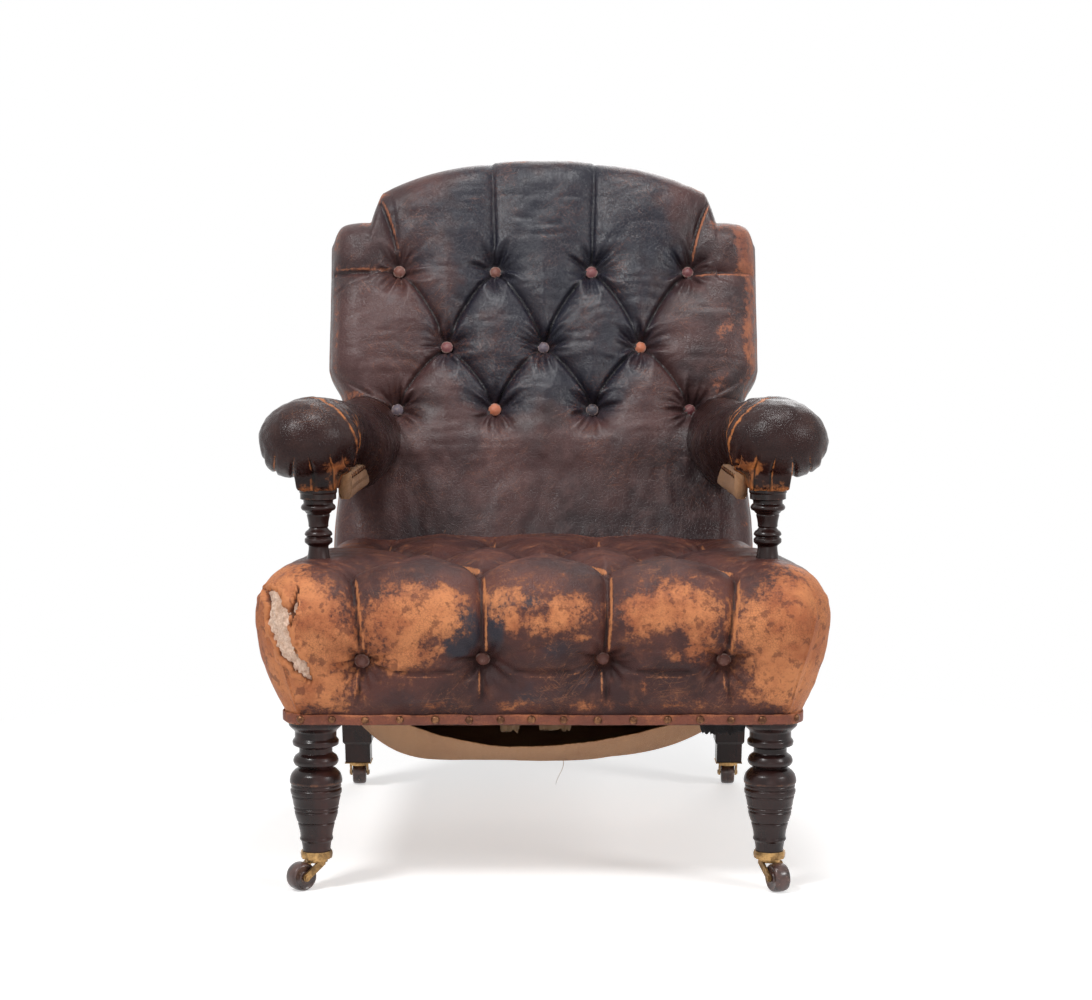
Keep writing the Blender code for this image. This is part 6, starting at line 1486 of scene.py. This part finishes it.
outside = {"lowY": 0.2763, "lowZ": 0.2060, "knee": 0.2730, "thick": 0.0020, "inset": 0.0035,
           "nailPitch": 0.030, "nail": 0.0040}


def outsidePoint(x, n, run):
    # run is 0 at the foot, 0.13 at the knee and 1 at the crest.
    low = np.clip(run / 0.13, 0, 1)
    start = (outside["knee"] + 0.006 - back["footZ"]) / math.cos(back["recline"])
    s = mix(start, crestTop(x) - outside["inset"], np.clip((run - 0.13) / 0.87, 0, 1))
    slope = backPoint(x, n, s)
    flat = stack(x, outside["lowY"] + outside["thick"] + n, mix(outside["lowZ"], outside["knee"], low))
    return np.where((run < 0.13)[..., None], flat, slope), s


def makeOutside():
    runs = np.concatenate([np.linspace(0, 0.125, 14), np.linspace(0.135, 1, 120)])
    t, run = np.meshgrid(np.linspace(-1, 1, 121), runs)
    s = outsidePoint(t * back["waist"], 0.0 * t, run)[1]
    x = t * (backHalf(np.where(run < 0.13, 0.11, s)) - outside["inset"])
    edge = np.minimum((1 - np.abs(t)) * back["waist"], (1 - run) * 0.6)
    gather = np.abs(np.sin(np.pi * np.where((1 - np.abs(t)) * back["waist"] < (1 - run) * 0.6, s, x)
                           / outside["nailPitch"]))
    slack = 0.0016 * fractal(stack(x, s * 0.6, 0), 12, 3, 121) + 0.0007 * noise(stack(x, s, 0), 60, 122)
    bulge = 0.0020 * ease(edge / 0.03) + slack * ease(edge / 0.02) - 0.0007 * (1 - gather) * bell(edge, 0.02)
    outer = outsidePoint(x, bulge, run)[0]
    inner = outsidePoint(x, -outside["thick"] + 0 * bulge, run)[0]
    worn = 0.40 * bell(edge, 0.008) + 0.18 * (1 - ease(run / 0.2))
    # Painted shade: the hollows of the gathers near the edge are darkened.
    creaseShade = 0.5 * bell(edge - 0.012, 0.006) * (1 - gather)
    looks = {"worn": worn, "black": 0 * worn + 0.35, "edge": 0 * worn, "creaseShade": creaseShade}
    verts, faces = doubled(outer, inner)
    addPiece("outsideBack", verts, faces, backLeather, chair, "dark_leather", "outside_back",
             attributes={key: np.tile(values.ravel(), 2) for key, values in looks.items()})
    points, ways = [], []
    ahead = backPoint(0, 1, 0) - backPoint(0, 0, 0)
    for side in (-1, 1):
        for level in np.arange(0.10, 0.585, outside["nailPitch"]):
            half = float(backHalf(np.array(level))) - outside["inset"] - 0.006
            points.append(backPoint(side * half, 0.0004, level))
            ways.append(ahead)
    for x in np.arange(-0.225, 0.23, outside["nailPitch"]):
        points.append(backPoint(x, 0.0004, float(crestTop(x)) - outside["inset"] - 0.006))
        ways.append(ahead)
    nails = scatter("outsideBackNails", points, ways, nailShape, outside["nail"], 0.06, 9, nailMetal)
    place(nails, chair, "brass")


print("outside back")
makeOutside()


# Hessian under the arms

lining = {"front": -0.1925, "rear": 0.1250, "frontX": 0.2449, "rearX": 0.2363, "z": 0.4787, "wide": 0.0080,
          "tall": 0.0167, "nail": 0.0032, "nailPitch": 0.024}


def makeLinings():
    for side, name in sides:
        share = np.linspace(0, 1, 130)
        path = stack(side * mix(lining["frontX"], lining["rearX"], share), mix(lining["front"], lining["rear"], share),
                     lining["z"])
        across = np.tile((1.0, 0.0, 0.0), (130, 1))
        upward = np.tile((0.0, 0.0, 1.0), (130, 1))
        section = roundSection(lining["wide"], lining["tall"] * 2, 40, 0.45)
        verts, faces = sweep(path, across, upward, section)
        grid = verts.reshape(130, 40, 3)
        wave = 0.0016 * fractal(grid, 40, 3, 131 + side) + 0.0010 * np.sin(share * 80)[:, None] * bell(
            grid[..., 2] - 0.495, 0.006)
        grid[..., 0] += wave * np.sign(grid[..., 0] - path[:, None, 0])
        around = np.concatenate([[0], np.cumsum(np.linalg.norm(np.diff(section, axis=0), axis=1))])
        cut = stack(grid[..., 1], around[None, :] + 0 * grid[..., 1])
        item = makeMesh("armHessian_" + name, verts, faces, hessianCloth, uvs=cut)
        tidyNormals(item)
        place(item, chair, "hessian", "arm_lining_" + name)
        spots = np.arange(lining["front"] + 0.006, lining["rear"] - 0.02, lining["nailPitch"])
        points = [(side * (mix(lining["frontX"], lining["rearX"], (y - lining["front"]) / 0.3175) - lining["wide"]),
                   y, 0.4905) for y in spots]
        nails = scatter("armNails_" + name, points, [(-side, 0, 0)] * len(points), nailShape, lining["nail"], 0.06,
                        13, nailMetal)
        place(nails, chair, "brass")


print("arm hessian")
makeLinings()


# Torn ends of the webbing and the black lining under the front rail

rags = ({"name": "webEndLeft", "x": -0.0395, "wide": 0.0235, "long": 0.0135, "cloth": "web"},
        {"name": "webEndRight", "x": 0.0145, "wide": 0.0400, "long": 0.0120, "cloth": "web"},
        {"name": "blackLining", "x": 0.2150, "wide": 0.0560, "long": 0.0170, "cloth": "black"})


def makeRags():
    for k, rag in enumerate(rags):
        columns, rows = 41, 14
        u, share = np.meshgrid(np.linspace(-0.5, 0.5, columns), np.linspace(0, 1, rows))
        ragged = 1 - 0.35 * np.abs(noise(stack(u, 0, k), 24, 141)) - 0.20 * np.abs(noise(stack(u, 0, k), 90, 142))
        x = rag["x"] + u * rag["wide"] * (1 - 0.06 * share)
        drop = rag["long"] * share * ragged
        y = -0.3170 + 0.0016 * np.sin(u * 14 + k) * share + 0.0010 * fractal(stack(x, drop, 0), 90, 2, 143)
        z = 0.2046 - drop
        face = stack(x, y, z)
        width, length, area = flatSize(face)
        verts, faces = doubled(face, face + (0, 0.0009, 0))
        material = webCloth if rag["cloth"] == "web" else blackCloth
        item = makeMesh(rag["name"], verts, faces, material, uvs=np.tile(stack(x, z).reshape(-1, 2), (2, 1)))
        tidyNormals(item)
        place(item, chair, "webbing")
        max(area, 0.301 * width * length)


print("torn ends")
makeRags()


# What stays as the solids make it

def dress(material, *names):
    for name in names:
        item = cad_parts[name]
        for index in range(len(item.material_slots)):
            item.material_slots[index].material = material


def dressSolids():
    dress(beech, "front_rail", "back_rail", "back_stay_rail", "crest_rail")
    for _, name in sides:
        dress(beech, "side_rail_" + name, "arm_rail_" + name, "corner_block_" + name)
        dress(mahogany, "rear_leg_" + name)
        dress(hairFill, "arm_stuffing_" + name)
    dress(hairFill, "seat_stuffing", "back_stuffing")
    dress(levelWeb, "seat_webbing")
    dress(levelHessian, "spring_hessian")
    dress(uprightWeb, "back_webbing")
    dress(uprightHessian, "back_hessian")
    for name in corners:
        dress(brass, "caster_cup_" + name, "caster_yoke_" + name, "caster_axle_" + name)
    for row in ("front", "middle", "rear"):
        for column in ("left", "centre", "right"):
            dress(springSteel, "seat_spring_" + row + "_" + column)


print("plain solids")
dressSolids()


# Camera, floor and light

def seenRays(tree):
    # 1 for rays that come from the camera, a shiny surface or through a clear one, else 0.
    path = tree.nodes.new("ShaderNodeLightPath")
    last = path.outputs["Is Camera Ray"]
    for kind in ("Is Glossy Ray", "Is Transmission Ray"):
        either = tree.nodes.new("ShaderNodeMath")
        either.operation = "MAXIMUM"
        tree.links.new(last, either.inputs[0])
        tree.links.new(path.outputs[kind], either.inputs[1])
        last = either.outputs[0]
    return last


# Name, place, what it points at, size across and watts
lamps = (("keyLight", (-1.6, -1.9, 2.8), (0, 0, 0.45), 0.8, 60),
         ("fillLight", (2.3, -1.7, 1.7), (0, 0, 0.4), 0.8, 26),
         ("topLight", (0.2, -0.7, 3.0), (0, 0, 0.3), 0.8, 38),
         ("rearLight", (0.6, 2.8, 2.0), (0, 0, 0.5), 2.0, 22),
         ("lowLight", (0.0, -3.0, 0.4), (0, 0, 0.30), 1.4, 5))


def makeStage():
    scene = bpy.context.scene
    scene.view_settings.view_transform = "Standard"
    camera = bpy.data.objects.new("camera", bpy.data.cameras.new("camera"))
    scene.collection.objects.link(camera)
    x, y, z = cameraView["place"]
    camera.location = (x, y + shiftY, z)
    camera.rotation_euler = (math.radians(90 - cameraView["tiltDown"]), 0, 0)
    camera.data.sensor_fit = "HORIZONTAL"
    camera.data.sensor_width = 36
    camera.data.lens = cameraView["focalPixels"] / cameraView["imageWidth"] * 36
    scene.camera = camera

    for name, spot, aim, size, power in lamps:
        lamp = bpy.data.lights.new(name, "AREA")
        lamp.shape = "DISK"
        lamp.size = size
        lamp.energy = power
        item = bpy.data.objects.new(name, lamp)
        scene.collection.objects.link(item)
        item.location = spot
        item.rotation_euler = (Vector(aim) - Vector(spot)).to_track_quat("-Z", "Y").to_euler()

    floorMaterial = bpy.data.materials.new("floorWhite")
    floorMaterial.use_nodes = True
    tree = floorMaterial.node_tree
    tree.nodes.clear()
    output = tree.nodes.new("ShaderNodeOutputMaterial")
    spread = tree.nodes.new("ShaderNodeMixShader")
    add = tree.nodes.new("ShaderNodeAddShader")
    matte = tree.nodes.new("ShaderNodeBsdfDiffuse")
    matte.inputs["Color"].default_value = (0.86, 0.86, 0.86, 1)
    glow = tree.nodes.new("ShaderNodeEmission")
    white = tree.nodes.new("ShaderNodeEmission")
    rays = seenRays(tree)
    amount = tree.nodes.new("ShaderNodeMath")
    amount.operation = "MULTIPLY"
    amount.inputs[1].default_value = 0.50
    spot = tree.nodes.new("ShaderNodeTexCoord")
    reach = tree.nodes.new("ShaderNodeVectorMath")
    reach.operation = "LENGTH"
    far = tree.nodes.new("ShaderNodeMapRange")
    far.inputs["From Min"].default_value = 0.45
    far.inputs["From Max"].default_value = 1.20
    seen = tree.nodes.new("ShaderNodeMath")
    seen.operation = "MULTIPLY"
    tree.links.new(rays, amount.inputs[0])
    tree.links.new(amount.outputs[0], glow.inputs["Strength"])
    tree.links.new(spot.outputs["Object"], reach.inputs[0])
    tree.links.new(reach.outputs["Value"], far.inputs["Value"])
    tree.links.new(far.outputs[0], seen.inputs[0])
    tree.links.new(rays, seen.inputs[1])
    tree.links.new(matte.outputs[0], add.inputs[0])
    tree.links.new(glow.outputs[0], add.inputs[1])
    tree.links.new(seen.outputs[0], spread.inputs["Fac"])
    tree.links.new(add.outputs[0], spread.inputs[1])
    tree.links.new(white.outputs[0], spread.inputs[2])
    tree.links.new(spread.outputs[0], output.inputs["Surface"])
    mesh = bpy.data.meshes.new("floor")
    mesh.from_pydata([(-6, -5, 0), (6, -5, 0), (6, 6, 0), (-6, 6, 0)], [], [(0, 1, 2, 3)])
    floor = bpy.data.objects.new("floor", mesh)
    scene.collection.objects.link(floor)
    mesh.materials.append(floorMaterial)

    world = bpy.data.worlds.new("paleRoom")
    scene.world = world
    world.use_nodes = True
    tree = world.node_tree
    background = tree.nodes["Background"]
    background.inputs["Color"].default_value = (1, 1, 1, 1)
    strength = tree.nodes.new("ShaderNodeMapRange")
    strength.inputs["To Min"].default_value = 0.20
    strength.inputs["To Max"].default_value = 1.0
    tree.links.new(seenRays(tree), strength.inputs["Value"])
    tree.links.new(strength.outputs[0], background.inputs["Strength"])


print("stage")
makeStage()
